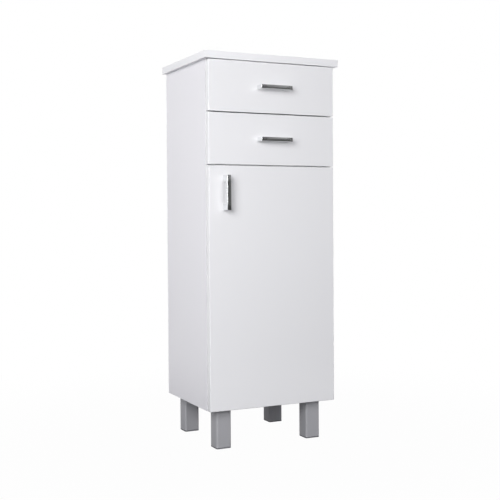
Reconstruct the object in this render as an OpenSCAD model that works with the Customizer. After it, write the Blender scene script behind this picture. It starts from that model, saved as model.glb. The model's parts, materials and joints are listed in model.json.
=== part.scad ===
// Half-height bathroom storage tower: a white cabinet on four square legs, with an
// overhanging worktop, two drawers on roller runners and one tall door hinged on the right.
// X runs to the viewer's right, Y to the back, Z up. The origin lies on the floor, in the
// middle of the object's plan.

/* [Cabinet] */
// Width over the two side panels
body_w = 350; // [300:10:450]
// Height of the side panels, without the legs and the worktop
body_h = 859; // [780:1:1000]
// Depth of the side panels, front edge to back edge
body_d = 268; // [268:2:340]
// Thickness of the coated chipboard
board_t = 16; // [16:1:18]
// Thickness of the back panel
back_t = 3; // [2.5:0.5:4]
// Height of the door compartment's lower edge to the middle of the door's upper gap
door_zone_h = 602; // [560:1:640]
// Height of the divider's middle to the middle of the gap between the drawers
drawer_zone_h = 129; // [125:1:135]

/* [Worktop] */
// Thickness of the worktop
top_t = 18; // [16:1:25]
// How far the worktop stands over each side panel
top_over_side = 11; // [4:1:20]
// How far the worktop stands over the fronts
top_over_front = 5; // [2:1:15]

/* [Fronts] */
// Thickness of the door and the drawer fronts
front_t = 16; // [16:0.5:19]
// Air between the carcass's front edge and the back of the fronts
front_gap = 2.5; // [2:0.5:3]
// Gap between two fronts
front_split = 2.5; // [2:0.5:4]
// How far each front stays inside the side panels' outer faces
front_inset = 1; // [0.5:0.5:1]
// Gap between the upper drawer front and the worktop
front_top_gap = 1; // [1:0.5:4]
// Rounding of the fronts' outer edges
front_round = 1.5; // [1:0.5:4]

/* [Handles] */
// Overall length of a handle
handle_l = 86; // [80:2:110]
// Width of a handle, seen from the front
handle_w = 10; // [8:1:14]
// How far a handle stands out from its front
handle_out = 27; // [24:1:32]
// Thickness of the handle's bar, front to back
handle_bar_t = 12; // [8:1:13]
// Length of each handle foot
handle_foot_l = 16; // [14:1:20]
// Distance of the door handle's middle from the door's left edge
door_handle_x = 42.5; // [30:0.5:60]
// Height of the door handle's middle over the door's lower edge
door_handle_z = 534; // [400:0.5:540]

/* [Legs] */
// Height from the floor to the cabinet's underside
leg_h = 100; // [90:5:120]
// Outer width of the square leg
leg_w = 40; // [36:1:50]
// Wall thickness of the leg
leg_wall = 2; // [1.5:0.5:3]
// Rounding of the leg's upright edges
leg_round = 5; // [3:0.5:6]
// Distance of a leg from the side panel's outer face
leg_in_x = 29; // [20:1:40]
// Distance of a front leg from the carcass's front edge
leg_in_front = 10; // [8:1:30]
// Distance of a back leg from the carcass's back edge
leg_in_back = 7; // [6:1:30]
// Thickness of the foot plate under a leg
foot_t = 3; // [3:0.5:5]
// How far a foot screws out
foot_travel = 10; // [5:1:15]

/* [Drawers] */
// Height of the drawer box's sides
box_h = 80; // [60:5:80]
// Length of the drawer box's sides
box_l = 250; // [220:10:260]
// Thickness of the drawer box's boards
box_t = 12; // [12:1:15]
// Height of the box's lower edge over the front's lower edge
box_lift = 20; // [18:1:24]
// Room between the box and each side panel, filled by the runner
runner_room = 12.5; // [12.5:0.5:14]
// Thickness of the runners' sheet steel
rail_t = 1.2; // [1:0.1:1.2]
// Radius of the runners' rollers
roller_r = 11; // [10:0.5:11]

/* [Shelf] */
// Height of the shelf's underside over the bottom panel
shelf_z = 280; // [200:32:400]
// Depth of the shelf
shelf_d = 240; // [200:5:245]

/* [Hidden] */
$fn = 48;
fit = 0.05;           // radial play round dowels, pins, shafts and stems
air = 0.3;            // air kept between parts that move past each other
sink = 0.01;          // overlap of a cutting tool with the face that it opens

// Levels
z_bottom = leg_h;
z_top = leg_h + body_h;
z_height = z_top + top_t;
z_divider = leg_h + door_zone_h;
z_split = z_divider + drawer_zone_h;
z_rail = z_top - board_t;

// Depths, counted from the middle of the whole plan
total_d = handle_out + front_t + front_gap + body_d;
y_back = total_d / 2;
y_edge = y_back - body_d;
y_front_back = y_edge - front_gap;
y_face = y_front_back - front_t;
y_back_panel = y_back - back_t;
inner_d = body_d - back_t;

// Widths
x_side = body_w / 2;
x_in = x_side - board_t;
front_w = body_w - 2 * front_inset;
rebate = board_t / 2;

// Fronts: lower edge and height of each
door_z = z_bottom;
door_h = door_zone_h - front_split / 2;
lower_z = z_divider + front_split / 2;
lower_h = drawer_zone_h - front_split;
upper_z = z_split + front_split / 2;
upper_h = z_top - front_top_gap - upper_z;

// Drawer boxes
box_x = x_in - runner_room;
box_in_x = box_x - box_t;
box_y0 = y_front_back;
box_y1 = box_y0 + box_l;
box_groove_z = 8;     // lower edge of the bottom's groove over the box's lower edge
box_groove_d = 4;     // depth of that groove
box_bottom_t = 3;     // thickness of the drawer's bottom
upper_box_z = upper_z + box_lift;
lower_box_z = lower_z + box_lift;

// Runners: places across are counted inwards from the side panel's inner face
rail_y0 = y_edge + 2;
rail_y1 = rail_y0 + box_l;
rail_lip = 4.5;       // reach of the cabinet rail's upper lip
rail_floor = 10.5;    // reach of the cabinet rail's running floor
roller_a0 = 2.3;      // the rollers' outer face
roller_a1 = 10.3;     // the rollers' inner face
roller_end = 12;      // distance of a roller's axle from its rail's end
rail_flanges_y0 = rail_y0 + 2 * roller_end + 2;    // the cabinet rail's floor and lip start here
rivet_head_t = 0.4;
axle_r = 2;
axle_head_r = 3.5;
slide_web = runner_room - rail_t;      // outer face of the drawer rail's web
slide_flange = 5;     // reach of the drawer rail's running flange
slide_y0 = y_edge - 1.5;
slide_y1 = box_y1;
rail_drop = 1;        // the cabinet rail's floor lies this far under the box's lower edge
rail_web_h = 2 * roller_r + 3;

// Hinges: the door turns about one upright pin in each cup
hinge_z = [z_bottom + 90, z_bottom + door_h - 90];
hinge_edge = 6.5;     // pin to the door's edge
hinge_depth = 9.9;    // pin to the door's inner face
pin_x = x_side - front_inset - hinge_edge;
pin_y = y_front_back - hinge_depth;
pin_r = 1;
pin_half = 8.5;       // half of the pin's length
knuckle_r = 1.9;
arm_half = 4;         // half of the arm's height
arm_t = 2.4;
arm_reach = 11.6;     // the gooseneck's right face, left of the pin
cup_r = 17.5;
cup_wall = 0.8;
cup_depth = 13;
cup_edge = 3;         // board left between the cup and the door's edge
cup_x = x_side - front_inset - cup_edge - cup_r;
flange_t = 1;
flange_half = 31;     // half of the cup flange's height
cup_screw_z = 22.5;
cup_screw_dx = -9.5;
plate_t = 2.5;
plate_y = y_edge + 20;
plate_d = 34;
plate_half = 24;
plate_screw_z = 16;

// Fasteners: radius, head radius and head height of each kind
wood_screw = [1.75, 3.4, 1.6];
machine_screw = [2, 4, 2.4];
dowel_r = 4;
dowel_l = 30;
dowel_in_side = 10;
cam_r = 7.5;
cam_h = 12.5;
cam_from_end = 34;
cam_slot_w = 1.4;
cam_slot_d = 1.2;
bolt_tip_gap = 3;     // a bolt ends this far short of its cam's middle
bolt_r = 2.5;
bolt_shank_r = 3.4;
bolt_in_side = 11;
nail_r = 0.8;
nail_head_r = 2;

// Joints of the level boards with the side panels: [height, dowel places, cam places]
rail_w = 80;          // width of each top rail
shelf_pin_r = 2.5;
shelf_pin_out = 8;    // a pin's reach under the shelf
shelf_pin_in = 9;     // and into the side panel
shelf_collar_t = 0.8;
shelf_collar_r = 4;
shelf_gap = 1;        // air between the shelf's end and the side panel
deep_dowels = [y_edge + 50, y_edge + inner_d - 50];
deep_cams = [y_edge + 82, y_edge + inner_d - 82];
front_rail_y = y_edge;
back_rail_y = y_back_panel - rail_w;
BOARD_JOINTS = [
    [z_bottom + board_t / 2, deep_dowels, deep_cams],
    [z_divider, deep_dowels, deep_cams],
    [z_rail + board_t / 2, [front_rail_y + 20, back_rail_y + 60], [front_rail_y + 55, back_rail_y + 25]],
];

leg_x = x_side - leg_in_x - leg_w / 2;
leg_y_front = y_edge + leg_in_front + leg_w / 2;
leg_y_back = y_back - leg_in_back - leg_w / 2;
LEGS = [[-leg_x, leg_y_front], [leg_x, leg_y_front], [-leg_x, leg_y_back], [leg_x, leg_y_back]];
leg_screw_at = 11;
stem_r = 4;
plug_h = 20;
stem_l = plug_h + foot_travel;        // a foot that is screwed right out still fills its plug

shelf_y = y_edge + 18;
shelf_under = z_bottom + board_t + shelf_z;
PIN_ROWS = [shelf_z - 64, shelf_z - 32, shelf_z, shelf_z + 32, shelf_z + 64];
PIN_PLACES = [shelf_y + 30, shelf_y + shelf_d - 40];

// Places and lengths of the fasteners and other small parts
runner_screw = [1.75, 3.2, 0.7];      // flat head that the rollers pass
runner_screw_l = 12;
runner_screw_places = [rail_y0 + 36, rail_y0 + 164];
slide_screw_l = 9;
slide_screw_places = [slide_y0 + 40, slide_y0 + 190];
cabinet_axle_y = rail_y0 + roller_end;
drawer_axle_y = slide_y1 - roller_end;
plate_screw_l = 12;
plate_screw_y = plate_y + 17;
arm_screw_y = plate_y + 26;
ear_t = 3.2;          // thickness of a cup's ear, along the pin
ear_half = 3;         // half of its width
cup_screw_in = 12;
bumper_r = 4;
bumper_in = 12;       // distance of a buffer from the door's upper or lower edge
worktop_screw_in = 12;
worktop_screw_x = 100;
WORKTOP_SCREWS = [
    for (side = [-1, 1], y = [front_rail_y + rail_w / 2, back_rail_y + rail_w / 2])
        [side * worktop_screw_x, y]
];
leg_screw_in = 12;
plate_foot_t = 4;     // thickness of a leg's socket plate
nail_l = 15;
nail_head_t = 0.8;
side_nail_x = x_in + rebate / 2;
board_nail_x = [-x_in + 25, 0, x_in - 25];
side_nail_levels = [for (i = [0 : 4]) z_bottom + 60 + i * (body_h - 120) / 4];
NAILS = concat(
    [for (z = [z_bottom + board_t / 2, z_divider, z_rail + board_t / 2], x = board_nail_x) [x, z]],
    [for (z = side_nail_levels, side = [-1, 1]) [side * side_nail_x, z]]
);
handle_round = 1.5;
handle_pitch = handle_l - 22;         // hole spacing: each screw sits 11 from its end
handle_screw_in = 8;
door_handle_at = [-front_w / 2 + door_handle_x, door_z + door_handle_z];
box_screw_levels = [28, 62];          // heights over the box's lower edge
box_screw_l = 36;
box_screw_sunk = 1.8;
box_bolt_in = 10;     // reach of a side's bolt into the front
box_bolt_out = 24;    // reach of the same bolt into the side

// Heights that follow a drawer box's lower edge
function rail_screw_z(box_z) = box_z + 17.5;    // over the rivets' heads, which pass them
function roller_z(box_z) = box_z - rail_drop + roller_r + air;

board_white = "#ecebee";
front_white = "#f2f1f4";
chrome = "#b9bbbe";
satin_grey = "#9e9ea2";
zinc = "#c3c4c6";
steel_white = "#f4f4f2";
beech = "#d9b98c";
nylon = "#e6e4dc";
black_plastic = "#3c3c40";
grey_plastic = "#77777c";
soft_clear = "#f0f0ee";

// ---------------------------------------------------------------- shared shapes

// A block between two corners
module block(low, high) {
    translate(low) cube(high - low);
}

// A cylinder along X between two places
module rod_x(x0, x1, y, z, r) {
    translate([min(x0, x1), y, z]) rotate([0, 90, 0]) cylinder(h = abs(x1 - x0), r = r);
}

// A cylinder along Y between two places
module rod_y(y0, y1, x, z, r) {
    translate([x, min(y0, y1), z]) rotate([-90, 0, 0]) cylinder(h = abs(y1 - y0), r = r);
}

// A square with round corners, about its middle
module rounded_square(w, r) {
    square([w - 2 * r, w], center = true);
    square([w, w - 2 * r], center = true);
    for (sx = [-1, 1], sy = [-1, 1])
        translate([sx * (w / 2 - r), sy * (w / 2 - r)]) circle(r = r);
}

// Left and right copies of a child that is drawn on the right
module both_sides() {
    children();
    mirror([1, 0, 0]) children();
}

// A cross-recessed screw from the origin into +Z, with its head below the origin
module screw(kind, length) {
    recess_l = kind[1];
    recess_w = 0.9;
    recess_d = kind[2] / 2;
    cylinder(h = length, r = kind[0]);
    difference() {
        translate([0, 0, -kind[2]]) cylinder(h = kind[2], r = kind[1]);
        for (turn = [0, 90])
            rotate([0, 0, turn]) translate([-recess_l / 2, -recess_w / 2, -kind[2] - sink])
                cube([recess_l, recess_w, recess_d + sink]);
    }
}

// A drawer front or door: its two outer corners and its outer long edges are rounded
module front_board(h) {
    intersection() {
        linear_extrude(h) rounded_edge_profile(front_w);
        translate([-front_w / 2, 0, h / 2]) rotate([90, 0, 90])
            linear_extrude(front_w) rotate(90) mirror([0, 1]) rounded_edge_profile(h);
    }
}

// A board's section, w wide: the outer face at y = 0 ends in two round corners
module rounded_edge_profile(w) {
    r = front_round;
    translate([-w / 2, r]) square([w, front_t - r]);
    translate([-w / 2 + r, 0]) square([w - 2 * r, front_t]);
    for (side = [-1, 1]) translate([side * (w / 2 - r), r]) circle(r = r);
}

// ---------------------------------------------------------------- carcass

// Holes for dowels and cam bolts at the ends of the level boards, on the right
module end_holes() {
    for (joint = BOARD_JOINTS) {
        for (y = joint[1])
            rod_x(x_in - (dowel_l - dowel_in_side) - air, x_in + dowel_in_side + air, y, joint[0], dowel_r);
        for (y = joint[2]) {
            rod_x(x_in - cam_from_end, x_in, y, joint[0], bolt_shank_r + air);
            rod_x(x_in - sink, x_in + bolt_in_side + air, y, joint[0], bolt_r + fit);
        }
    }
}

// Pockets of the cams, opened from each level board's underside, on the right
module cam_pockets() {
    for (joint = BOARD_JOINTS, y = joint[2])
        translate([x_in - cam_from_end, y, joint[0] - board_t / 2 - sink])
            cylinder(h = cam_h + sink, r = cam_r + fit);
}

module shelf_pin_holes() {
    for (row = PIN_ROWS, y = PIN_PLACES)
        rod_x(x_in - sink, x_in + shelf_pin_in + 1, y, z_bottom + board_t + row - shelf_pin_r,
              shelf_pin_r + fit);
}

// Screw holes of the runners in a side panel
module runner_screw_holes() {
    for (box_z = [upper_box_z, lower_box_z], y = runner_screw_places)
        rod_x(x_in - sink, x_in + runner_screw_l, y, rail_screw_z(box_z), wood_screw[0] + fit);
}

module side_panel_blank() {
    difference() {
        block([x_in, y_edge, z_bottom], [x_side, y_back, z_top]);
        block([x_in - sink, y_back_panel, z_bottom - sink], [x_in + rebate, y_back + sink, z_top + sink]);
        end_holes();
        shelf_pin_holes();
        runner_screw_holes();
        for (z = side_nail_levels) rod_y(y_back_panel - nail_l, y_back, side_nail_x, z, nail_r);
    }
}

module side_panel_left() {
    color(board_white) mirror([1, 0, 0]) side_panel_blank();
}

module side_panel_right() {
    color(board_white) difference() {
        side_panel_blank();
        for (z = hinge_z, dz = [-1, 1])
            rod_x(x_in - sink, x_in + plate_screw_l, plate_screw_y, z + dz * plate_screw_z,
                  wood_screw[0] + fit);
    }
}

// A level board between the side panels, bored for its fasteners
module level_board(y0, y1, z0) {
    difference() {
        block([-x_in, y0, z0], [x_in, y1, z0 + board_t]);
        both_sides() {
            end_holes();
            cam_pockets();
        }
        for (x = board_nail_x)
            rod_y(y_back_panel - nail_l, y_back_panel + sink, x, z0 + board_t / 2, nail_r);
    }
}

module bottom_panel() {
    color(board_white) difference() {
        level_board(y_edge, y_back_panel, z_bottom);
        for (leg = LEGS, sx = [-1, 1], sy = [-1, 1])
            translate([leg[0] + sx * leg_screw_at, leg[1] + sy * leg_screw_at, z_bottom - sink])
                cylinder(h = leg_screw_in + sink, r = wood_screw[0] + fit);
    }
}

module divider_panel() {
    color(board_white) level_board(y_edge, y_back_panel, z_divider - board_t / 2);
}

// The two rails that tie the side panels together and carry the worktop
module top_rails() {
    color(board_white) difference() {
        union() {
            level_board(front_rail_y, front_rail_y + rail_w, z_rail);
            level_board(back_rail_y, back_rail_y + rail_w, z_rail);
        }
        for (place = WORKTOP_SCREWS)
            translate([place[0], place[1], z_rail - sink])
                cylinder(h = board_t + 2 * sink, r = machine_screw[0] + fit);
    }
}

module worktop() {
    color(board_white) difference() {
        block([-x_side - top_over_side, y_face - top_over_front, z_top],
              [x_side + top_over_side, y_back, z_height]);
        for (place = WORKTOP_SCREWS)
            translate([place[0], place[1], z_top - sink])
                cylinder(h = worktop_screw_in + sink, r = machine_screw[0] + fit);
    }
}

module worktop_screws() {
    color(zinc) for (place = WORKTOP_SCREWS)
        translate([place[0], place[1], z_rail]) screw(machine_screw, board_t + worktop_screw_in - air);
}

module back_panel() {
    color(board_white) difference() {
        block([-x_in - rebate + air, y_back_panel, z_bottom], [x_in + rebate - air, y_back, z_top]);
        for (place = NAILS) rod_y(y_back_panel - sink, y_back + sink, place[0], place[1], nail_r);
        for (place = NAILS) rod_y(y_back - nail_head_t, y_back + sink, place[0], place[1], nail_head_r);
    }
}

module back_panel_nails() {
    color(zinc) for (place = NAILS) {
        rod_y(y_back_panel - nail_l + air, y_back - nail_head_t, place[0], place[1], nail_r - fit);
        rod_y(y_back - nail_head_t, y_back, place[0], place[1], nail_head_r - fit);
    }
}

module shelf() {
    color(board_white)
        block([-x_in + shelf_gap, shelf_y, shelf_under],
              [x_in - shelf_gap, shelf_y + shelf_d, shelf_under + board_t]);
}

// Pins that carry the shelf, each with a small collar against the side panel
module shelf_pins() {
    color(zinc) both_sides() for (y = PIN_PLACES) {
        rod_x(x_in - shelf_pin_out, x_in + shelf_pin_in, y, shelf_under - shelf_pin_r, shelf_pin_r);
        rod_x(x_in - shelf_collar_t, x_in, y, shelf_under - shelf_pin_r, shelf_collar_r);
    }
}

module carcass_dowels() {
    color(beech) both_sides() for (joint = BOARD_JOINTS, y = joint[1])
        rod_x(x_in - (dowel_l - dowel_in_side), x_in + dowel_in_side, y, joint[0], dowel_r - fit);
}

module carcass_cam_bolts() {
    color(zinc) both_sides() for (joint = BOARD_JOINTS, y = joint[2]) {
        rod_x(x_in - cam_from_end + bolt_tip_gap, x_in, y, joint[0], bolt_shank_r);
        rod_x(x_in, x_in + bolt_in_side, y, joint[0], bolt_r);
    }
}

// Quarter-turn cams: each is bored from the side for its bolt and slotted for a screwdriver
module carcass_cams() {
    color(zinc) both_sides() for (joint = BOARD_JOINTS, y = joint[2])
        difference() {
            translate([x_in - cam_from_end, y, joint[0] - board_t / 2]) cylinder(h = cam_h - air, r = cam_r);
            rod_x(x_in - cam_from_end, x_in, y, joint[0], bolt_shank_r + air);
            for (turn = [0, 90])
                translate([x_in - cam_from_end, y, joint[0] - board_t / 2]) rotate([0, 0, turn + 45])
                    cube([cam_r, cam_slot_w, 2 * cam_slot_d], center = true);
        }
}

// ---------------------------------------------------------------- legs and feet

// A square tube that stands over the socket plate and the foot's plug
module leg(at) {
    color(satin_grey) translate([at[0], at[1], foot_t + air])
        linear_extrude(leg_h - foot_t - air) difference() {
            rounded_square(leg_w, leg_round);
            rounded_square(leg_w - 2 * leg_wall, leg_round - leg_wall);
        }
}

// Socket plates screwed under the bottom panel, one inside each leg's head
module leg_plates() {
    color(black_plastic) for (at = LEGS) translate([at[0], at[1], leg_h - plate_foot_t])
        difference() {
            linear_extrude(plate_foot_t)
                rounded_square(leg_w - 2 * leg_wall - 2 * fit, leg_round - leg_wall);
            for (sx = [-1, 1], sy = [-1, 1])
                translate([sx * leg_screw_at, sy * leg_screw_at, -sink])
                    cylinder(h = plate_foot_t + 2 * sink, r = wood_screw[0] + fit);
        }
}

module leg_screws() {
    color(zinc) for (at = LEGS, sx = [-1, 1], sy = [-1, 1])
        translate([at[0] + sx * leg_screw_at, at[1] + sy * leg_screw_at, leg_h - plate_foot_t])
            screw(wood_screw, plate_foot_t + leg_screw_in - air);
}

// Plugs in the legs' lower ends, each bored for a foot's stem
module leg_plugs() {
    color(black_plastic) for (at = LEGS) translate([at[0], at[1], foot_t + air])
        linear_extrude(plug_h) difference() {
            rounded_square(leg_w - 2 * leg_wall - 2 * fit, leg_round - leg_wall);
            circle(r = stem_r + fit);
        }
}

// A levelling foot: a square plate as wide as the leg, on a screwed stem
module foot(at) {
    color(grey_plastic) translate([at[0], at[1], 0]) {
        linear_extrude(foot_t) rounded_square(leg_w, leg_round);
        translate([0, 0, foot_t]) cylinder(h = stem_l, r = stem_r);
    }
}

// ---------------------------------------------------------------- runners

// A cabinet rail on the right: web, running floor and upper lip
module cabinet_rail(box_z) {
    floor_z = box_z - rail_drop;
    difference() {
        union() {
            block([x_in - rail_t, rail_y0, floor_z - rail_t], [x_in, rail_y1, floor_z + rail_web_h]);
            block([x_in - rail_floor, rail_flanges_y0, floor_z - rail_t],
                  [x_in - rail_t, rail_y1, floor_z]);
            block([x_in - rail_lip, rail_flanges_y0, floor_z + rail_web_h - rail_t],
                  [x_in - rail_t, rail_y1, floor_z + rail_web_h]);
        }
        for (y = runner_screw_places)
            rod_x(x_in - rail_t - sink, x_in + sink, y, rail_screw_z(box_z), wood_screw[0] + fit);
        rod_x(x_in - rail_t - sink, x_in + sink, cabinet_axle_y, roller_z(box_z), axle_r + fit);
    }
}

module cabinet_rails() {
    color(steel_white) both_sides() for (box_z = [upper_box_z, lower_box_z]) cabinet_rail(box_z);
}

// Rivets that carry the cabinet rails' rollers
module cabinet_roller_axles() {
    color(zinc) both_sides() for (box_z = [upper_box_z, lower_box_z]) {
        head_x = x_in - roller_a1 - air;
        rod_x(head_x, x_in, cabinet_axle_y, roller_z(box_z), axle_r);
        rod_x(head_x - rivet_head_t, head_x, cabinet_axle_y, roller_z(box_z), axle_head_r);
    }
}

// Screws of the runners and of the hinges' mounting plates
module panel_screws() {
    color(zinc) {
        both_sides() for (box_z = [upper_box_z, lower_box_z], y = runner_screw_places)
            translate([x_in - rail_t, y, rail_screw_z(box_z)]) rotate([0, 90, 0])
                screw(runner_screw, rail_t + runner_screw_l - air);
        for (z = hinge_z, dz = [-1, 1])
            translate([x_in - plate_t, plate_screw_y, z + dz * plate_screw_z]) rotate([0, 90, 0])
                screw(wood_screw, plate_t + plate_screw_l - air);
    }
}

// Two rollers on one line: of the cabinet rails or of the drawer rails
module roller_pair(axle_y, box_z) {
    color(nylon) both_sides() difference() {
        rod_x(x_in - roller_a1, x_in - roller_a0, axle_y, roller_z(box_z), roller_r);
        rod_x(x_in - roller_a1 - sink, x_in - roller_a0 + sink, axle_y, roller_z(box_z), axle_r + fit);
    }
}

// A drawer rail on the right: support flange, web, running flange and its roller's rivet
module drawer_rail(box_z) {
    flange_z = roller_z(box_z) + roller_r + air;
    head_x = x_in - roller_a0 + air;
    difference() {
        block([x_in - runner_room, slide_y0, box_z - rail_t],
              [x_in - slide_web, slide_y1, flange_z + rail_t]);
        for (y = slide_screw_places)
            rod_x(box_x - sink, x_in - slide_web + sink, y, rail_screw_z(box_z), wood_screw[0] + fit);
    }
    block([box_in_x, slide_y0, box_z - rail_t], [x_in - runner_room, slide_y1, box_z]);
    block([x_in - slide_web, slide_y0, flange_z], [x_in - slide_flange, slide_y1, flange_z + rail_t]);
    rod_x(x_in - slide_web, head_x, drawer_axle_y, roller_z(box_z), axle_r);
    rod_x(head_x, head_x + rivet_head_t, drawer_axle_y, roller_z(box_z), axle_head_r);
}

module drawer_rails(box_z) {
    color(steel_white) both_sides() drawer_rail(box_z);
}

// ---------------------------------------------------------------- hinges

// Mounting plates on the right side panel, with a pad that the arm lies on
module hinge_plates() {
    color(zinc) for (z = hinge_z) difference() {
        block([x_in - plate_t, plate_y, z - plate_half], [x_in, plate_y + plate_d, z + plate_half]);
        for (dz = [-1, 1])
            rod_x(x_in - plate_t - sink, x_in + sink, plate_screw_y, z + dz * plate_screw_z,
                  wood_screw[0] + fit);
        rod_x(x_in - plate_t - sink, x_in + sink, arm_screw_y, z, machine_screw[0] + fit);
    }
}

// Gooseneck arms: from the mounting plate, forward past the side panel's edge, round the
// cup's lip and to a knuckle on the pin
module hinge_arms() {
    right_face = pin_x - arm_reach;
    color(zinc) for (z = hinge_z) difference() {
        union() {
            block([right_face - arm_t, pin_y - knuckle_r, z - arm_half],
                  [right_face, plate_y + plate_d, z + arm_half]);
            block([right_face - arm_t, pin_y - knuckle_r, z - arm_half], [pin_x, pin_y, z + arm_half]);
            translate([pin_x, pin_y, z - arm_half]) cylinder(h = 2 * arm_half, r = knuckle_r);
        }
        translate([pin_x, pin_y, z - arm_half - sink]) cylinder(h = 2 * (arm_half + sink), r = pin_r + fit);
        rod_x(right_face - arm_t - sink, right_face + sink, arm_screw_y, z, machine_screw[0] + fit);
    }
}

module hinge_arm_screws() {
    color(zinc) for (z = hinge_z)
        translate([pin_x - arm_reach - arm_t, arm_screw_y, z]) rotate([0, 90, 0])
            screw(machine_screw, arm_t + plate_t - air);
}

// Cups in the door's bores: rim flange, wall, floor and two ears that hold the pin
module hinge_cups() {
    y_floor = y_front_back - cup_depth;
    color(zinc) for (z = hinge_z) difference() {
        union() {
            rod_y(y_floor, y_front_back, cup_x, z, cup_r - fit);
            block([cup_x - cup_r, y_front_back, z - flange_half],
                  [cup_x + cup_r, y_front_back + flange_t, z + flange_half]);
        }
        difference() {
            rod_y(y_floor + cup_wall, y_front_back + flange_t + sink, cup_x, z, cup_r - cup_wall);
            for (side = [-1, 1])
                translate([pin_x, pin_y, z + side * (arm_half + air + ear_t / 2)])
                    cube([2 * ear_half, 2 * ear_half, ear_t], center = true);
        }
        translate([pin_x, pin_y, z - pin_half]) cylinder(h = 2 * pin_half, r = pin_r);
        for (dz = [-1, 1])
            rod_y(y_front_back - sink, y_front_back + flange_t + sink, cup_x + cup_screw_dx,
                  z + dz * cup_screw_z, wood_screw[0] + fit);
    }
}

module hinge_pins() {
    color(zinc) for (z = hinge_z)
        translate([pin_x, pin_y, z - pin_half]) cylinder(h = 2 * pin_half, r = pin_r);
}

module hinge_cup_screws() {
    color(zinc) for (z = hinge_z, dz = [-1, 1])
        translate([cup_x + cup_screw_dx, y_front_back + flange_t, z + dz * cup_screw_z]) rotate([90, 0, 0])
            screw(wood_screw, flange_t + cup_screw_in - air);
}

// ---------------------------------------------------------------- door

module door_panel() {
    color(front_white) difference() {
        translate([0, y_face, door_z]) front_board(door_h);
        for (z = hinge_z) {
            rod_y(y_front_back - cup_depth, y_front_back + sink, cup_x, z, cup_r);
            for (dz = [-1, 1])
                rod_y(y_front_back - cup_screw_in, y_front_back + sink, cup_x + cup_screw_dx,
                      z + dz * cup_screw_z, wood_screw[0] + fit);
        }
        for (side = [-1, 1])
            rod_y(y_face - sink, y_front_back + sink, door_handle_at[0],
                  door_handle_at[1] + side * handle_pitch / 2, machine_screw[0] + fit);
    }
}

// Soft round buffers on the door's back, at its free edge
module door_bumpers() {
    color(soft_clear) for (z = [door_z + bumper_in, door_z + door_h - bumper_in])
        rod_y(y_front_back, y_front_back + front_gap - air, -x_side + board_t / 2, z, bumper_r);
}

// ---------------------------------------------------------------- handles

// A bar handle lying along X, with its feet at y = 0 and its bar towards -Y
module handle() {
    difference() {
        translate([-handle_l / 2, -handle_out, 0]) rotate([90, 0, 90])
            linear_extrude(handle_l) handle_section();
        block([-handle_l / 2 + handle_foot_l, -handle_out + handle_bar_t, -handle_w],
              [handle_l / 2 - handle_foot_l, sink, handle_w]);
        for (side = [-1, 1])
            rod_y(-handle_screw_in, sink, side * handle_pitch / 2, 0, machine_screw[0] + fit);
    }
}

// The handle's section: flat foot face, round outer corners
module handle_section() {
    r = handle_round;
    translate([r, -handle_w / 2]) square([handle_out - r, handle_w]);
    translate([0, -handle_w / 2 + r]) square([handle_out, handle_w - 2 * r]);
    for (side = [-1, 1]) translate([r, side * (handle_w / 2 - r)]) circle(r = r);
}

// The screws of one handle, from the back of its front
module handle_screws() {
    for (side = [-1, 1])
        translate([side * handle_pitch / 2, front_t, 0]) rotate([90, 0, 0])
            screw(machine_screw, front_t + handle_screw_in - air);
}

module door_handle() {
    color(chrome) translate([door_handle_at[0], y_face, door_handle_at[1]]) rotate([0, 90, 0]) handle();
}

module door_handle_screws() {
    color(zinc) translate([door_handle_at[0], y_face, door_handle_at[1]]) rotate([0, 90, 0]) handle_screws();
}

module drawer_handle(front_z, front_h) {
    color(chrome) translate([0, y_face, front_z + front_h / 2]) handle();
}

module drawer_handle_screws(front_z, front_h) {
    color(zinc) translate([0, y_face, front_z + front_h / 2]) handle_screws();
}

// ---------------------------------------------------------------- drawers

// Groove for a drawer's bottom, as a block that is cut from the boards round it
module bottom_groove(box_z) {
    block([-box_in_x - box_groove_d, box_y0 - box_groove_d - air, box_z + box_groove_z],
          [box_in_x + box_groove_d, box_y1 + sink, box_z + box_groove_z + box_bottom_t]);
}

module drawer_front(front_z, front_h, box_z) {
    color(front_white) difference() {
        translate([0, y_face, front_z]) front_board(front_h);
        bottom_groove(box_z);
        for (side = [-1, 1])
            rod_y(y_face - sink, y_front_back + sink, side * handle_pitch / 2, front_z + front_h / 2,
                  machine_screw[0] + fit);
        for (side = [-1, 1], dz = box_screw_levels)
            rod_y(y_front_back - box_bolt_in, y_front_back + sink, side * (box_x - box_t / 2), box_z + dz,
                  wood_screw[0] + fit);
    }
}

module drawer_side(box_z, side) {
    color(board_white) mirror([side < 0 ? 1 : 0, 0, 0]) difference() {
        block([box_in_x, box_y0, box_z], [box_x, box_y1, box_z + box_h]);
        bottom_groove(box_z);
        box_screw_holes(box_z);
        for (y = slide_screw_places)
            rod_x(box_x - slide_screw_l, box_x + sink, y, rail_screw_z(box_z), wood_screw[0] + fit);
    }
}

// Holes on the right for the screws that join a side to the front and to the back
module box_screw_holes(box_z) {
    for (dz = box_screw_levels) {
        rod_y(box_y0 - sink, box_y0 + box_bolt_out, box_x - box_t / 2, box_z + dz, wood_screw[0] + fit);
        rod_x(box_x - box_screw_sunk, box_x + sink, box_y1 - box_t / 2, box_z + dz, wood_screw[1] + fit);
        rod_x(box_x - box_screw_l, box_x + sink, box_y1 - box_t / 2, box_z + dz, wood_screw[0] + fit);
    }
}

module drawer_back(box_z) {
    color(board_white) difference() {
        block([-box_in_x, box_y1 - box_t, box_z + box_groove_z + box_bottom_t],
              [box_in_x, box_y1, box_z + box_h]);
        both_sides() box_screw_holes(box_z);
    }
}

module drawer_bottom(box_z) {
    color(board_white)
        block([-box_in_x - box_groove_d + air, box_y0 - box_groove_d, box_z + box_groove_z],
              [box_in_x + box_groove_d - air, box_y1, box_z + box_groove_z + box_bottom_t]);
}

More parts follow.
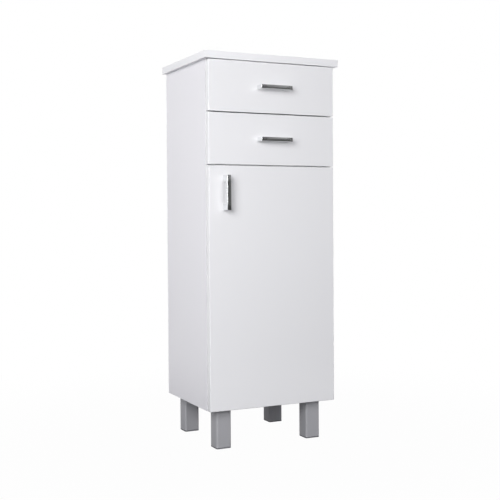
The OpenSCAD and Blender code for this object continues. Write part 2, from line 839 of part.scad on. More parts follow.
// Screws through the sides into the back, headless bolts from the sides into the front, and
// flat-headed screws that hold the drawer rails
module drawer_box_screws(box_z) {
    color(zinc) both_sides() for (y = slide_screw_places)
        translate([x_in - slide_web, y, rail_screw_z(box_z)]) rotate([0, -90, 0])
            screw(runner_screw, rail_t + slide_screw_l - air);
    color(zinc) both_sides() for (dz = box_screw_levels) {
        translate([box_x - box_screw_sunk, box_y1 - box_t / 2, box_z + dz])
            rotate([0, -90, 0]) screw(wood_screw, box_screw_l - box_screw_sunk - air);
        rod_y(y_front_back - box_bolt_in + air, box_y0 + box_bolt_out - air, box_x - box_t / 2, box_z + dz,
              wood_screw[0]);
    }
}

// ---------------------------------------------------------------- the object

side_panel_left();
side_panel_right();
bottom_panel();
divider_panel();
top_rails();
worktop();
back_panel();
shelf();
shelf_pins();
carcass_dowels();
carcass_cam_bolts();
carcass_cams();
worktop_screws();
back_panel_nails();
leg(LEGS[0]);  // leg_front_left
leg(LEGS[1]);  // leg_front_right
leg(LEGS[2]);  // leg_back_left
leg(LEGS[3]);  // leg_back_right
leg_plates();
leg_screws();
leg_plugs();
foot(LEGS[0]);  // foot_front_left
foot(LEGS[1]);  // foot_front_right
foot(LEGS[2]);  // foot_back_left
foot(LEGS[3]);  // foot_back_right
cabinet_rails();
panel_screws();
cabinet_roller_axles();
hinge_plates();
hinge_arms();
hinge_arm_screws();
door_panel();
door_handle();
door_handle_screws();
hinge_cups();
hinge_pins();
hinge_cup_screws();
door_bumpers();
drawer_front(upper_z, upper_h, upper_box_z);  // upper_drawer_front
drawer_side(upper_box_z, -1);  // upper_drawer_side_left
drawer_side(upper_box_z, 1);  // upper_drawer_side_right
drawer_back(upper_box_z);  // upper_drawer_back
drawer_bottom(upper_box_z);  // upper_drawer_bottom
drawer_handle(upper_z, upper_h);  // upper_drawer_handle
drawer_handle_screws(upper_z, upper_h);  // upper_drawer_handle_screws
drawer_rails(upper_box_z);  // upper_drawer_rails
drawer_box_screws(upper_box_z);  // upper_drawer_box_screws
roller_pair(cabinet_axle_y, upper_box_z);  // upper_cabinet_rollers
roller_pair(drawer_axle_y, upper_box_z);  // upper_drawer_rollers
drawer_front(lower_z, lower_h, lower_box_z);  // lower_drawer_front
drawer_side(lower_box_z, -1);  // lower_drawer_side_left
drawer_side(lower_box_z, 1);  // lower_drawer_side_right
drawer_back(lower_box_z);  // lower_drawer_back
drawer_bottom(lower_box_z);  // lower_drawer_bottom
drawer_handle(lower_z, lower_h);  // lower_drawer_handle
drawer_handle_screws(lower_z, lower_h);  // lower_drawer_handle_screws
drawer_rails(lower_box_z);  // lower_drawer_rails
drawer_box_screws(lower_box_z);  // lower_drawer_box_screws
roller_pair(cabinet_axle_y, lower_box_z);  // lower_cabinet_rollers
roller_pair(drawer_axle_y, lower_box_z);  // lower_drawer_rollers
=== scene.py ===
"""The finished look of a half-height bathroom storage tower.

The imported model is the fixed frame: it gives every board, leg, runner and hinge at its real size.
This script dresses it. What shows from outside is modelled again with the soft edges, tubes and
turned shapes of the real pieces, and what stays from the frame gets its own finish.
"""

import json
import logging
import math
from collections.abc import Callable, Sequence
from dataclasses import dataclass, field
from enum import Enum, IntEnum
from typing import Protocol

import bmesh
import bpy
from mathutils import Matrix, Vector


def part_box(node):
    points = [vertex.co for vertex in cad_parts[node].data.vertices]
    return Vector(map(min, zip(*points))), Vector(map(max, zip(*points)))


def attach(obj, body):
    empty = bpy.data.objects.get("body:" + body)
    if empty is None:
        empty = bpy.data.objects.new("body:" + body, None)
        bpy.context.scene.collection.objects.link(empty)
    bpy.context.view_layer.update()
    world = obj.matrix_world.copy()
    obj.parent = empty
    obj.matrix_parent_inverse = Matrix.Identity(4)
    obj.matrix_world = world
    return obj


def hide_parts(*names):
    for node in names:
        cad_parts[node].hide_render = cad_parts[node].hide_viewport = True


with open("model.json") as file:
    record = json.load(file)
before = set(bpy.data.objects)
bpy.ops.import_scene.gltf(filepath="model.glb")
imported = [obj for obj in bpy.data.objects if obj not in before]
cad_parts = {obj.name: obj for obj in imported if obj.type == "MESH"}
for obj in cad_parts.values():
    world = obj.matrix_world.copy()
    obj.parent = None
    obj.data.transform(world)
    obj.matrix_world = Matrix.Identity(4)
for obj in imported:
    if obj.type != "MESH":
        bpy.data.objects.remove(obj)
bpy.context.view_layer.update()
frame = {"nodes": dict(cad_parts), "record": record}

log = logging.getLogger("storage_tower")

MM = 0.001                      # one millimetre in the scene's metres
WELD = 0.0005 * MM              # vertices closer than this are one
NEAR = 0.01 * MM                # what still counts as lying on a plane
FLAT = math.radians(0.5)        # faces that meet at less than this are one flat face
SHARP = math.radians(40)        # edges that turn by more than this are corners
SQUARELY = 0.9                  # least share of a way in the normals of faces that look that way
MOSTLY = 0.5                    # the same, where the faces round their edges count too
OVER = 1.0                      # millimetres by which a cutter starts outside the piece
RAW_SKIN = 0.4 * MM             # depth of a hardboard's raw back
CREASE = 35.0                   # degrees past which turned and pressed pieces have a sharp edge
X, Y, Z = Vector((1, 0, 0)), Vector((0, 1, 0)), Vector((0, 0, 1))

# Sockets of the Mix node, which names them alike for numbers and for colours
FACTOR, NUMBER_A, NUMBER_B, COLOUR_A, COLOUR_B = 0, 2, 3, 6, 7
MIXED_COLOUR = 2

# The noise behind the patches of a finish, its fine relief, and the clumps of raw fibres
CLOUDS = {"Detail": 3.0, "Roughness": 0.55}
GRAIN = {"Scale": 1.0, "Detail": 2.0}
FIBRES = {"Detail": 6.0, "Roughness": 0.75, "Distortion": 1.2}
CLOUD_SPAN = (0.3, 0.7)         # nearly all of the clouds lie between these

# Nodes of the carcass's level boards, and how the names of a drawer box's boards end
LEVEL_BOARDS = ("bottom_panel", "divider_panel", "top_rails")
BOX_BOARDS = ("side_left", "side_right", "back")

Colour = tuple[float, float, float, float]
Outline = list[tuple[float, float]]     # corners of a flat shape, or of a turned half section
WHITE = "#ffffff"

# Which body each of the frame's nodes is on
BODY_OF = {
    node: body
    for body, nodes in frame["record"]["behaviour"]["bodies"].items()
    for node in nodes
}


class Axis(IntEnum):
    """The number of each axis."""

    X = 0
    Y = 1
    Z = 2


class Corner(Enum):
    """Where a leg stands."""

    FRONT_LEFT = "front_left"
    FRONT_RIGHT = "front_right"
    BACK_LEFT = "back_left"
    BACK_RIGHT = "back_right"


class Level(Enum):
    """Which of the two drawers it is."""

    UPPER = "upper"
    LOWER = "lower"


# ------------------------------------------------------------------ finishes


def linear(code: str) -> Colour:
    """Turns an sRGB hex colour into the linear colour that a shader takes.

    Args:
        code: The colour as "#rrggbb".

    Returns:
        Red, green, blue and an alpha of one.
    """
    channels = [int(code[place:place + 2], 16) / 255 for place in (1, 3, 5)]
    # The sRGB standard's own curve: straight near black, then a power
    red, green, blue = (
        c / 12.92 if c <= 0.04045 else ((c + 0.055) / 1.055) ** 2.4 for c in channels
    )
    return (red, green, blue, 1.0)


def add_node(
    tree: bpy.types.NodeTree,
    kind: str,
    inputs: dict | None = None,
    links: dict | None = None,
    **settings: object,
) -> bpy.types.Node:
    """Adds one node with its settings and links.

    Args:
        tree: The node tree that it joins.
        kind: The node's type name.
        inputs: Input names or numbers, and the values that they hold.
        links: Input names or numbers, and the output sockets that feed them.
        **settings: The node's own properties.

    Returns:
        The new node.
    """
    node = tree.nodes.new(kind)
    for name, value in settings.items():
        setattr(node, name, value)
    for key, value in (inputs or {}).items():
        node.inputs[key].default_value = value
    for key, socket in (links or {}).items():
        tree.links.new(socket, node.inputs[key])
    return node


@dataclass(frozen=True)
class Finish:
    """A surface finish: a main colour that wanders a little, and a fine relief.

    Attributes:
        name: The material's name, after what it is made of.
        colour: Main colour, sRGB hex.
        second: Colour of the cloudy patches, sRGB hex.
        roughness: Roughness of the glossiest and the dullest places.
        metallic: One for bare or plated metal.
        ior: Index of refraction, left at 1.5 for a metal.
        cloud_mm: Spacing of the cloudy patches.
        grain_mm: Spacing of the fine relief on X, Y and Z.
        relief_mm: Height of the fine relief.
    """

    name: str
    colour: str
    second: str
    roughness: tuple[float, float]
    metallic: float = 0.0
    ior: float = 1.5
    cloud_mm: float = 60.0
    grain_mm: tuple[float, float, float] = (2.0, 2.0, 2.0)
    relief_mm: float = 0.01

    def material(self) -> bpy.types.Material:
        """Gives the finish's material, made on first use.

        Returns:
            The material that every piece with this finish shares.
        """
        made = bpy.data.materials.get(self.name)
        if made is None:
            made = bpy.data.materials.new(self.name)
            made.use_nodes = True
            made.node_tree.nodes.clear()
            self.fill(made.node_tree)
        return made

    def fill(self, tree: bpy.types.NodeTree) -> None:
        """Builds the shader.

        Args:
            tree: The material's empty node tree.
        """
        place = add_node(tree, "ShaderNodeTexCoord").outputs["Object"]
        shader = add_node(
            tree,
            "ShaderNodeBsdfPrincipled",
            {"Metallic": self.metallic, "IOR": self.ior},
            {
                "Base Color": self.tint(tree, place),
                "Roughness": self.sheen(tree, place),
                "Normal": self.relief(tree, place),
            },
        )
        self.settle(shader)
        add_node(tree, "ShaderNodeOutputMaterial", links={"Surface": shader.outputs["BSDF"]})

    def clouds(self, tree: bpy.types.NodeTree, place: bpy.types.NodeSocket) -> bpy.types.NodeSocket:
        """Adds the slow noise behind the colour and the roughness.

        Args:
            tree: The material's node tree.
            place: Socket with the point on the object.

        Returns:
            A socket that wanders between zero and one.
        """
        noise = add_node(
            tree,
            "ShaderNodeTexNoise",
            {"Scale": 1 / (self.cloud_mm * MM), **CLOUDS},
            {"Vector": place},
        )
        return noise.outputs["Fac"]

    def tint(self, tree: bpy.types.NodeTree, place: bpy.types.NodeSocket) -> bpy.types.NodeSocket:
        """Mixes the two colours by the clouds.

        Args:
            tree: The material's node tree.
            place: Socket with the point on the object.

        Returns:
            The colour's socket.
        """
        mix = add_node(
            tree,
            "ShaderNodeMix",
            {COLOUR_A: linear(self.colour), COLOUR_B: linear(self.second)},
            {FACTOR: self.clouds(tree, place)},
            data_type="RGBA",
        )
        return mix.outputs[MIXED_COLOUR]

    def sheen(self, tree: bpy.types.NodeTree, place: bpy.types.NodeSocket) -> bpy.types.NodeSocket:
        """Spreads the roughness over the clouds.

        Args:
            tree: The material's node tree.
            place: Socket with the point on the object.

        Returns:
            The roughness's socket.
        """
        start, end = CLOUD_SPAN
        low, high = self.roughness
        level = add_node(
            tree,
            "ShaderNodeMapRange",
            {"From Min": start, "From Max": end, "To Min": low, "To Max": high},
            {"Value": self.clouds(tree, place)},
        )
        return level.outputs["Result"]

    def relief(self, tree: bpy.types.NodeTree, place: bpy.types.NodeSocket) -> bpy.types.NodeSocket:
        """Raises the fine grain.

        Args:
            tree: The material's node tree.
            place: Socket with the point on the object.

        Returns:
            The bent normal's socket.
        """
        drawn = add_node(
            tree,
            "ShaderNodeMapping",
            {"Scale": [1 / (step * MM) for step in self.grain_mm]},
            {"Vector": place},
        )
        grain = add_node(
            tree,
            "ShaderNodeTexNoise",
            GRAIN,
            {"Vector": drawn.outputs["Vector"]},
        )
        bump = add_node(
            tree,
            "ShaderNodeBump",
            {"Strength": 1.0, "Distance": self.relief_mm * MM},
            {"Height": grain.outputs["Fac"]},
        )
        return bump.outputs["Normal"]

    def settle(self, shader: bpy.types.Node) -> None:
        """Sets what a finish has beyond colour, roughness and relief: by default nothing."""


@dataclass(frozen=True)
class Lacquered(Finish):
    """A finish under a clear glossy layer.

    Attributes:
        coat: Weight of the clear layer.
        coat_roughness: Its roughness.
    """

    coat: float = 0.5
    coat_roughness: float = 0.05

    def settle(self, shader: bpy.types.Node) -> None:
        """Adds the clear layer on the shader's own sockets."""
        shader.inputs["Coat Weight"].default_value = self.coat
        shader.inputs["Coat Roughness"].default_value = self.coat_roughness


@dataclass(frozen=True)
class ClearSoft(Finish):
    """A soft moulding that lets some light through.

    Attributes:
        clear: How much of the light passes.
    """

    clear: float = 0.5

    def settle(self, shader: bpy.types.Node) -> None:
        """Lets light through on the shader's own socket."""
        shader.inputs["Transmission Weight"].default_value = self.clear


@dataclass(frozen=True)
class TwoFaced(Finish):
    """A thin panel that is lacquered on one face and raw on its back.

    Attributes:
        raw: Colour of the raw back, sRGB hex.
        raw_second: Colour of the raw back's fibres, sRGB hex.
        fibre_mm: Spacing of the clumps of fibres.
        back_y: Depth in metres behind which the raw face starts.
    """

    raw: str = "#7d5f40"
    raw_second: str = "#a98a62"
    fibre_mm: float = 7.0
    back_y: float = 0.0

    def tint(self, tree: bpy.types.NodeTree, place: bpy.types.NodeSocket) -> bpy.types.NodeSocket:
        """Puts the raw fibres behind back_y and the lacquer before it.

        Args:
            tree: The material's node tree.
            place: Socket with the point on the object.

        Returns:
            The colour's socket.
        """
        front = super().tint(tree, place)
        fibre = add_node(
            tree,
            "ShaderNodeTexNoise",
            {"Scale": 1 / (self.fibre_mm * MM), **FIBRES},
            {"Vector": place},
        )
        raw = add_node(
            tree,
            "ShaderNodeMix",
            {COLOUR_A: linear(self.raw), COLOUR_B: linear(self.raw_second)},
            {FACTOR: fibre.outputs["Fac"]},
            data_type="RGBA",
        )
        depth = add_node(tree, "ShaderNodeSeparateXYZ", links={0: place})
        behind = add_node(
            tree,
            "ShaderNodeMath",
            {1: self.back_y},
            {0: depth.outputs["Y"]},
            operation="GREATER_THAN",
        )
        both = add_node(
            tree,
            "ShaderNodeMix",
            links={
                FACTOR: behind.outputs[0], COLOUR_A: front, COLOUR_B: raw.outputs[MIXED_COLOUR],
            },
            data_type="RGBA",
        )
        return both.outputs[MIXED_COLOUR]


# Foil drawn over fibreboard under vacuum: bright and even, with the slow orange peel that bends
# what it mirrors.
GLOSS_FOIL = Finish(
    "thermoformed_gloss_foil", "#eeeef0", "#efeff1", (0.10, 0.16), ior=1.52,
    cloud_mm=140.0, grain_mm=(9.0, 9.0, 9.0), relief_mm=0.012,
)
# Melamine resin paper pressed on chipboard: satin, with a fine pearl that only dulls the light.
# The real pearl is 0.5 mm; it is drawn at 1.5 mm so that it shows.
MELAMINE = Finish(
    "pressed_melamine", "#ecebef", "#edecf0", (0.30, 0.42), ior=1.56,
    cloud_mm=110.0, grain_mm=(1.5, 1.5, 1.5), relief_mm=0.004,
)
# Edge band of extruded ABS, milled flush: brighter and duller than the board, with faint lines
# along it. The real lines are 0.2 mm apart; they are drawn 1.2 mm apart so that they show.
EDGE_BAND = Finish(
    "extruded_abs_edge", "#efeff1", "#f1f1f3", (0.38, 0.48), ior=1.54,
    cloud_mm=70.0, grain_mm=(40.0, 1.2, 40.0), relief_mm=0.003,
)
# Die-cast zinc with polished chrome: a dark mirror with the slight waviness of hand polishing
CHROME = Finish(
    "polished_chrome", "#e6e7e8", "#ecedee", (0.04, 0.08), metallic=1.0,
    cloud_mm=12.0, grain_mm=(22.0, 22.0, 22.0), relief_mm=0.04,
)
# Silver lacquer over extruded aluminium tube: a satin grey whose flakes mirror little, with the
# tube's draw lines down its length. These are drawn 1 mm apart, which is coarser than real ones.
LEG_SILVER = Lacquered(
    "satin_silver_aluminium", "#ababaf", "#b1b1b5", (0.36, 0.46), metallic=0.08,
    cloud_mm=30.0, grain_mm=(1.0, 1.0, 60.0), relief_mm=0.006,
    coat=0.08, coat_roughness=0.3,
)
# Bright zinc plating: cloudy grey metal
ZINC = Finish(
    "bright_zinc_plate", "#b9bbbe", "#c7c8ca", (0.26, 0.40), metallic=1.0,
    cloud_mm=4.0, grain_mm=(0.8, 0.8, 0.8), relief_mm=0.002,
)
# Nickel-plated pressed steel of the hinges: warmer and smoother than zinc
NICKEL = Finish(
    "nickel_plated_steel", "#c4c2bd", "#cfcdc8", (0.14, 0.24), metallic=1.0,
    cloud_mm=9.0, grain_mm=(5.0, 5.0, 5.0), relief_mm=0.006,
)
# Baked powder on rolled steel: fine orange peel
POWDER = Finish(
    "white_powder_coat", "#eeeeec", "#f1f1ef", (0.32, 0.42),
    cloud_mm=25.0, grain_mm=(0.9, 0.9, 0.9), relief_mm=0.012,
)
# Natural nylon, injection moulded: creamy, waxy
NYLON = Finish(
    "natural_nylon", "#e4e1d8", "#e9e6de", (0.36, 0.46), ior=1.53,
    cloud_mm=8.0, grain_mm=(0.6, 0.6, 0.6), relief_mm=0.004,
)
# Polypropylene with a spark-eroded surface: matt and finely pitted. The real pits are 0.1 mm; they
# are drawn at 0.5 mm so that they show.
GREY_PLASTIC = Finish(
    "grey_polypropylene", "#6f6f74", "#75757a", (0.48, 0.60), ior=1.49,
    cloud_mm=10.0, grain_mm=(0.5, 0.5, 0.5), relief_mm=0.015,
)
BLACK_PLASTIC = Finish(
    "black_polypropylene", "#2f2f33", "#37373b", (0.48, 0.60), ior=1.49,
    cloud_mm=10.0, grain_mm=(0.5, 0.5, 0.5), relief_mm=0.015,
)
# Cast polyurethane buffer: clear and soft
SOFT_CLEAR = ClearSoft(
    "clear_polyurethane", "#e9e9e6", "#eeeeec", (0.12, 0.20),
    cloud_mm=5.0, grain_mm=(2.0, 2.0, 2.0), relief_mm=0.004, clear=0.55,
)
# Steamed beech: pinkish brown with fibres along the dowel
BEECH = Finish(
    "steamed_beech", "#d2ad7e", "#c0966a", (0.55, 0.70),
    cloud_mm=3.0, grain_mm=(25.0, 0.7, 0.7), relief_mm=0.03,
)
# Hardboard for the cabinet's back: lacquered white inside, raw brown fibres with a pressed
# relief outside. The fibres are 0.3 mm wide; they are drawn in clumps so that they show.
HARDBOARD = TwoFaced(
    "lacquered_hardboard", "#ebeaed", "#eeedf0", (0.38, 0.50),
    cloud_mm=80.0, grain_mm=(1.2, 1.2, 1.2), relief_mm=0.02,
    back_y=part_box("back_panel")[1].y - RAW_SKIN,
)


# ------------------------------------------------------------------ shapes


class Blend(Enum):
    """How two solids become one, by the Boolean modifier's names."""

    CUT = "DIFFERENCE"
    GROW = "UNION"


class Shape:
    """A mesh in the making, shaped by operators and finished as one piece."""

    def __init__(self) -> None:
        """Starts empty."""
        self.mesh = bmesh.new()

    def block(self, low: Vector, high: Vector) -> None:
        """Adds a block between two corners.

        Args:
            low: Its lowest corner.
            high: Its highest corner.
        """
        corners = bmesh.ops.create_cube(self.mesh, size=1.0)["verts"]
        bmesh.ops.scale(self.mesh, vec=high - low, verts=corners)
        bmesh.ops.translate(self.mesh, vec=(low + high) / 2, verts=corners)

    def prism(self, outline: Sequence[Vector], along: Vector) -> None:
        """Adds a flat outline drawn out along a vector.

        Args:
            outline: The outline's corners, in order.
            along: How far and which way it is drawn out.
        """
        face = self.mesh.faces.new([self.mesh.verts.new(corner) for corner in outline])
        grown = bmesh.ops.extrude_face_region(self.mesh, geom=[face])["geom"]
        tips = [part for part in grown if isinstance(part, bmesh.types.BMVert)]
        bmesh.ops.translate(self.mesh, vec=along, verts=tips)

    def rod(self, start: Vector, end: Vector, radius: float, sides: int = 32) -> None:
        """Adds a round rod with closed ends.

        Args:
            start: Middle of one end.
            end: Middle of the other end.
            radius: Its radius.
            sides: How many flats make it round.
        """
        along = end - start
        turn = along.to_track_quat("Z", "Y").to_matrix().to_4x4()
        bmesh.ops.create_cone(
            self.mesh, cap_ends=True, cap_tris=False, segments=sides, radius1=radius,
            radius2=radius, depth=along.length,
            matrix=Matrix.Translation((start + end) / 2) @ turn,
        )

    def turned(
        self, profile: Sequence[tuple[float, float]], centre: Vector, axis: Vector, steps: int = 48
    ) -> None:
        """Adds a turned shape.

        Args:
            profile: Its half section, as distances from the axis and along it.
            centre: The point on the axis from which the profile counts.
            axis: Unit vector along the axis.
            steps: How many steps make the full turn.
        """
        across = axis.orthogonal().normalized()
        points = [
            self.mesh.verts.new(centre + across * out + axis * along) for out, along in profile
        ]
        edges = [self.mesh.edges.new(pair) for pair in zip(points, points[1:])]
        bmesh.ops.spin(
            self.mesh, geom=points + edges, cent=centre, axis=axis, angle=math.tau, steps=steps,
            use_merge=True,
        )

    def soften(
        self,
        radius: float,
        segments: int = 2,
        where: Callable[[bmesh.types.BMEdge], bool] | None = None,
    ) -> None:
        """Rounds edges.

        Args:
            radius: The rounding's radius.
            segments: How many flats make it round.
            where: Picks the edges; all of them if left out.
        """
        picked = [edge for edge in self.mesh.edges if where is None or where(edge)]
        bmesh.ops.bevel(
            self.mesh, geom=picked, offset=radius, offset_type="OFFSET", affect="EDGES",
            segments=segments, profile=0.5, material=-1, clamp_overlap=True,
        )

    def second_finish(self, way: Vector, share: float) -> None:
        """Gives the faces that look a way their piece's second finish, and the others its first.

        Args:
            way: Unit vector of that way.
            share: How much of that vector their normals have at least.
        """
        for face in self.mesh.faces:
            face.material_index = int(face.normal.dot(way) > share)

    def star(
        self, start: Vector, arms: tuple[Vector, Vector], half: tuple[float, float], into: Vector
    ) -> None:
        """Adds a cross with equal arms, such as a screwdriver's recess is cut with.

        Args:
            start: Its middle.
            arms: Unit vectors along its arms.
            half: Half length and half width of its arms.
            into: How far and which way it is drawn out.
        """
        long, wide = half
        outline = cross(long, wide, wide, long)
        self.prism([start + arms[0] * a + arms[1] * b for a, b in outline], into)

    def copied(self, node: str) -> None:
        """Adds a copy of a frame node's mesh, with its triangles merged into flat faces.

        Args:
            node: The frame's node.
        """
        self.mesh.from_mesh(frame["nodes"][node].data)
        bmesh.ops.remove_doubles(self.mesh, verts=self.mesh.verts, dist=WELD)
        bmesh.ops.dissolve_limit(
            self.mesh, angle_limit=FLAT, verts=self.mesh.verts, edges=self.mesh.edges
        )

    def take(self, other: "Shape") -> None:
        """Takes in another shape that stands apart from this one.

        Args:
            other: The other shape, which is used up.
        """
        data = bpy.data.meshes.new("taken")
        other.mesh.to_mesh(data)
        other.mesh.free()
        self.mesh.from_mesh(data)
        bpy.data.meshes.remove(data)

    def carve(self, cutter: "Shape") -> None:
        """Cuts another shape out of this one.

        Args:
            cutter: The shape that is taken away. It is used up.
        """
        self.combine(cutter, Blend.CUT)

    def join(self, other: "Shape") -> None:
        """Grows this shape together with another one.

        Args:
            other: The shape that is added. It is used up.
        """
        self.combine(other, Blend.GROW)

    def combine(self, other: "Shape", blend: Blend) -> None:
        """Combines this shape with another one as solids.

        Args:
            other: The other shape, which is used up.
            blend: What happens to the two.
        """
        whole, tool = self.as_object("whole"), other.as_object("tool")
        both = whole.modifiers.new("both", "BOOLEAN")
        both.operation, both.solver, both.object = blend.value, "EXACT", tool
        shown = whole.evaluated_get(bpy.context.evaluated_depsgraph_get())
        self.mesh = bmesh.new()
        self.mesh.from_mesh(shown.to_mesh())
        shown.to_mesh_clear()
        for scrap in (whole, tool):
            bpy.data.meshes.remove(scrap.data)

    def as_object(self, name: str) -> bpy.types.Object:
        """Turns the shape into an object at the origin.

        Args:
            name: The object's name.

        Returns:
            The object, with its doubles merged and its faces turned outwards.
        """
        bmesh.ops.remove_doubles(self.mesh, verts=self.mesh.verts, dist=WELD)
        bmesh.ops.recalc_face_normals(self.mesh, faces=self.mesh.faces)
        data = bpy.data.meshes.new(name)
        self.mesh.to_mesh(data)
        self.mesh.free()
        normals = data.attributes.get("custom_normal")
        if normals is not None:
            data.attributes.remove(normals)
        made = bpy.data.objects.new(name, data)
        bpy.context.scene.collection.objects.link(made)
        return made


@dataclass
class Piece:
    """What a finished piece is called, stands for and is made of.

    Attributes:
        name: The piece's name.
        node: The frame's node that it replaces. It goes on that node's body.
        finishes: Its finishes, in the order of its faces' material numbers.
        crease: Edges sharper than this angle, in degrees, stay sharp.
    """

    name: str
    node: str
    finishes: Sequence[Finish]
    crease: float = 50.0

    def finish(self, shape: Shape) -> bpy.types.Object:
        """Makes the piece from its shape and puts it on its body.

        Args:
            shape: The modelled shape, which is used up.

        Returns:
            The piece's object.
        """
        made = shape.as_object(self.name)
        for finish in self.finishes:
            made.data.materials.append(finish.material())
        made.data.shade_smooth()
        made.data.set_sharp_from_angle(angle=math.radians(self.crease))
        even = made.modifiers.new("even faces", "WEIGHTED_NORMAL")
        even.keep_sharp = True
        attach(made, BODY_OF[self.node])
        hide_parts(self.node)
        log.info("%s: %d faces on %s", self.name, len(made.data.polygons), BODY_OF[self.node])
        return made


def lies_at(axis: Axis, level: float) -> Callable[[bmesh.types.BMEdge], bool]:
    """Makes a test for edges that lie in a plane.

    Args:
        axis: The axis that the plane is square to.
        level: The plane's place on that axis.

    Returns:
        A test that takes an edge.
    """
    return lambda edge: all(abs(vert.co[axis] - level) < NEAR for vert in edge.verts)


def runs_along(axis: Axis) -> Callable[[bmesh.types.BMEdge], bool]:
    """Makes a test for edges that run along an axis.

    Args:
        axis: That axis.

    Returns:
        A test that takes an edge.
    """

    def test(edge: bmesh.types.BMEdge) -> bool:
        """Tells whether the edge is parallel to the axis."""
        run = edge.verts[1].co - edge.verts[0].co
        return abs(run[axis]) > run.length - NEAR

    return test


def stands_out(shortest: float = 0.0) -> Callable[[bmesh.types.BMEdge], bool]:
    """Makes a test for outer corners.

    Args:
        shortest: Edges shorter than this, such as those round a bore, don't count.

    Returns:
        A test that takes an edge.
    """

    def test(edge: bmesh.types.BMEdge) -> bool:
        """Tells whether the edge is a convex corner that is long enough."""
        long = edge.is_manifold and edge.calc_length() >= shortest
        return long and edge.is_convex and edge.calc_face_angle() > SHARP

    return test


def cross(long: float, broad: float, narrow: float, tall: float) -> Outline:
    """Draws a cross about the origin.

    Args:
        long: Half length of its level arm.
        broad: Half width of its upright arm.
        narrow: Half width of its level arm.
        tall: Half length of its upright arm.

    Returns:
        The corners of its outline, in order.
    """
    right = [(long, narrow), (broad, narrow), (broad, tall)]
    upper = right + [(-a, b) for a, b in reversed(right)]
    return upper + [(-a, -b) for a, b in upper]


def drum(radius: float, height: float, edge: float) -> Outline:
    """Draws the half section of a round disc with eased rims.

    Args:
        radius: The disc's radius.
        height: Its height.
        edge: Size of the slopes at its rims.

    Returns:
        Distances from its axis and along it.
    """
    half = [(radius - edge, 0.0), (radius, edge), (radius, height - edge), (radius - edge, height)]
    return [(0.0, 0.0), *half, (0.0, height)]


def quarter(centre: tuple[float, float], radius: float, start: int, step: int = 15) -> Outline:
    """Draws a quarter circle.

    Args:
        centre: Its centre, as distances from an axis and along it.
        radius: Its radius.
        start: The angle in degrees at which it starts.
        step: Degrees from one point to the next.

    Returns:
        Distances from the axis and along it.
    """
    turns = [math.radians(angle) for angle in range(start, start + 91, step)]
    return [(centre[0] + radius * math.cos(a), centre[1] + radius * math.sin(a)) for a in turns]


def solids(node: str) -> list[list[Vector]]:
    """Splits a frame node into its separate solids.

    Args:
        node: The frame's node.

    Returns:
        The points of each solid.
    """
    shape = Shape()
    shape.copied(node)
    seen, found = set(), []
    for start in shape.mesh.verts:
        if start in seen:
            continue
        seen.add(start)
        group = [start]
        for vert in group:
            for edge in vert.link_edges:
                other = edge.other_vert(vert)
                if other not in seen:
                    seen.add(other)
                    group.append(other)
        found.append([vert.co.copy() for vert in group])
    shape.mesh.free()
    return found


def span(points: Sequence[Vector]) -> tuple[Vector, Vector]:
    """Gives the lowest and the highest corner of the box round some points."""
    low, high = ([pick(p[axis] for p in points) for axis in Axis] for pick in (min, max))
    return Vector(low), Vector(high)


# ------------------------------------------------------------------ boards and fronts


@dataclass
class Worktop:
    """The overhanging top: chipboard with a milled edge band all round.

    Attributes:
        node: The frame's node.
        corner: Rounding of its upright corners, in millimetres.
        edge: Rounding of its long edges, in millimetres.
    """

    node: str = "worktop"
    corner: float = 1.0
    edge: float = 0.6

    def build(self) -> bpy.types.Object:
        """Builds the worktop.

        Returns:
            The piece's object.
        """
        low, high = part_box(self.node)
        shape = Shape()
        shape.block(low, high)
        shape.soften(self.corner * MM, segments=4, where=runs_along(Axis.Z))
        under, over = lies_at(Axis.Z, low.z), lies_at(Axis.Z, high.z)
        shape.soften(self.edge * MM, segments=3, where=lambda edge: under(edge) or over(edge))
        for face in shape.mesh.faces:
            face.material_index = int(abs(face.normal.z) <= SQUARELY)
        return Piece("worktop_board", self.node, [MELAMINE, EDGE_BAND]).finish(shape)


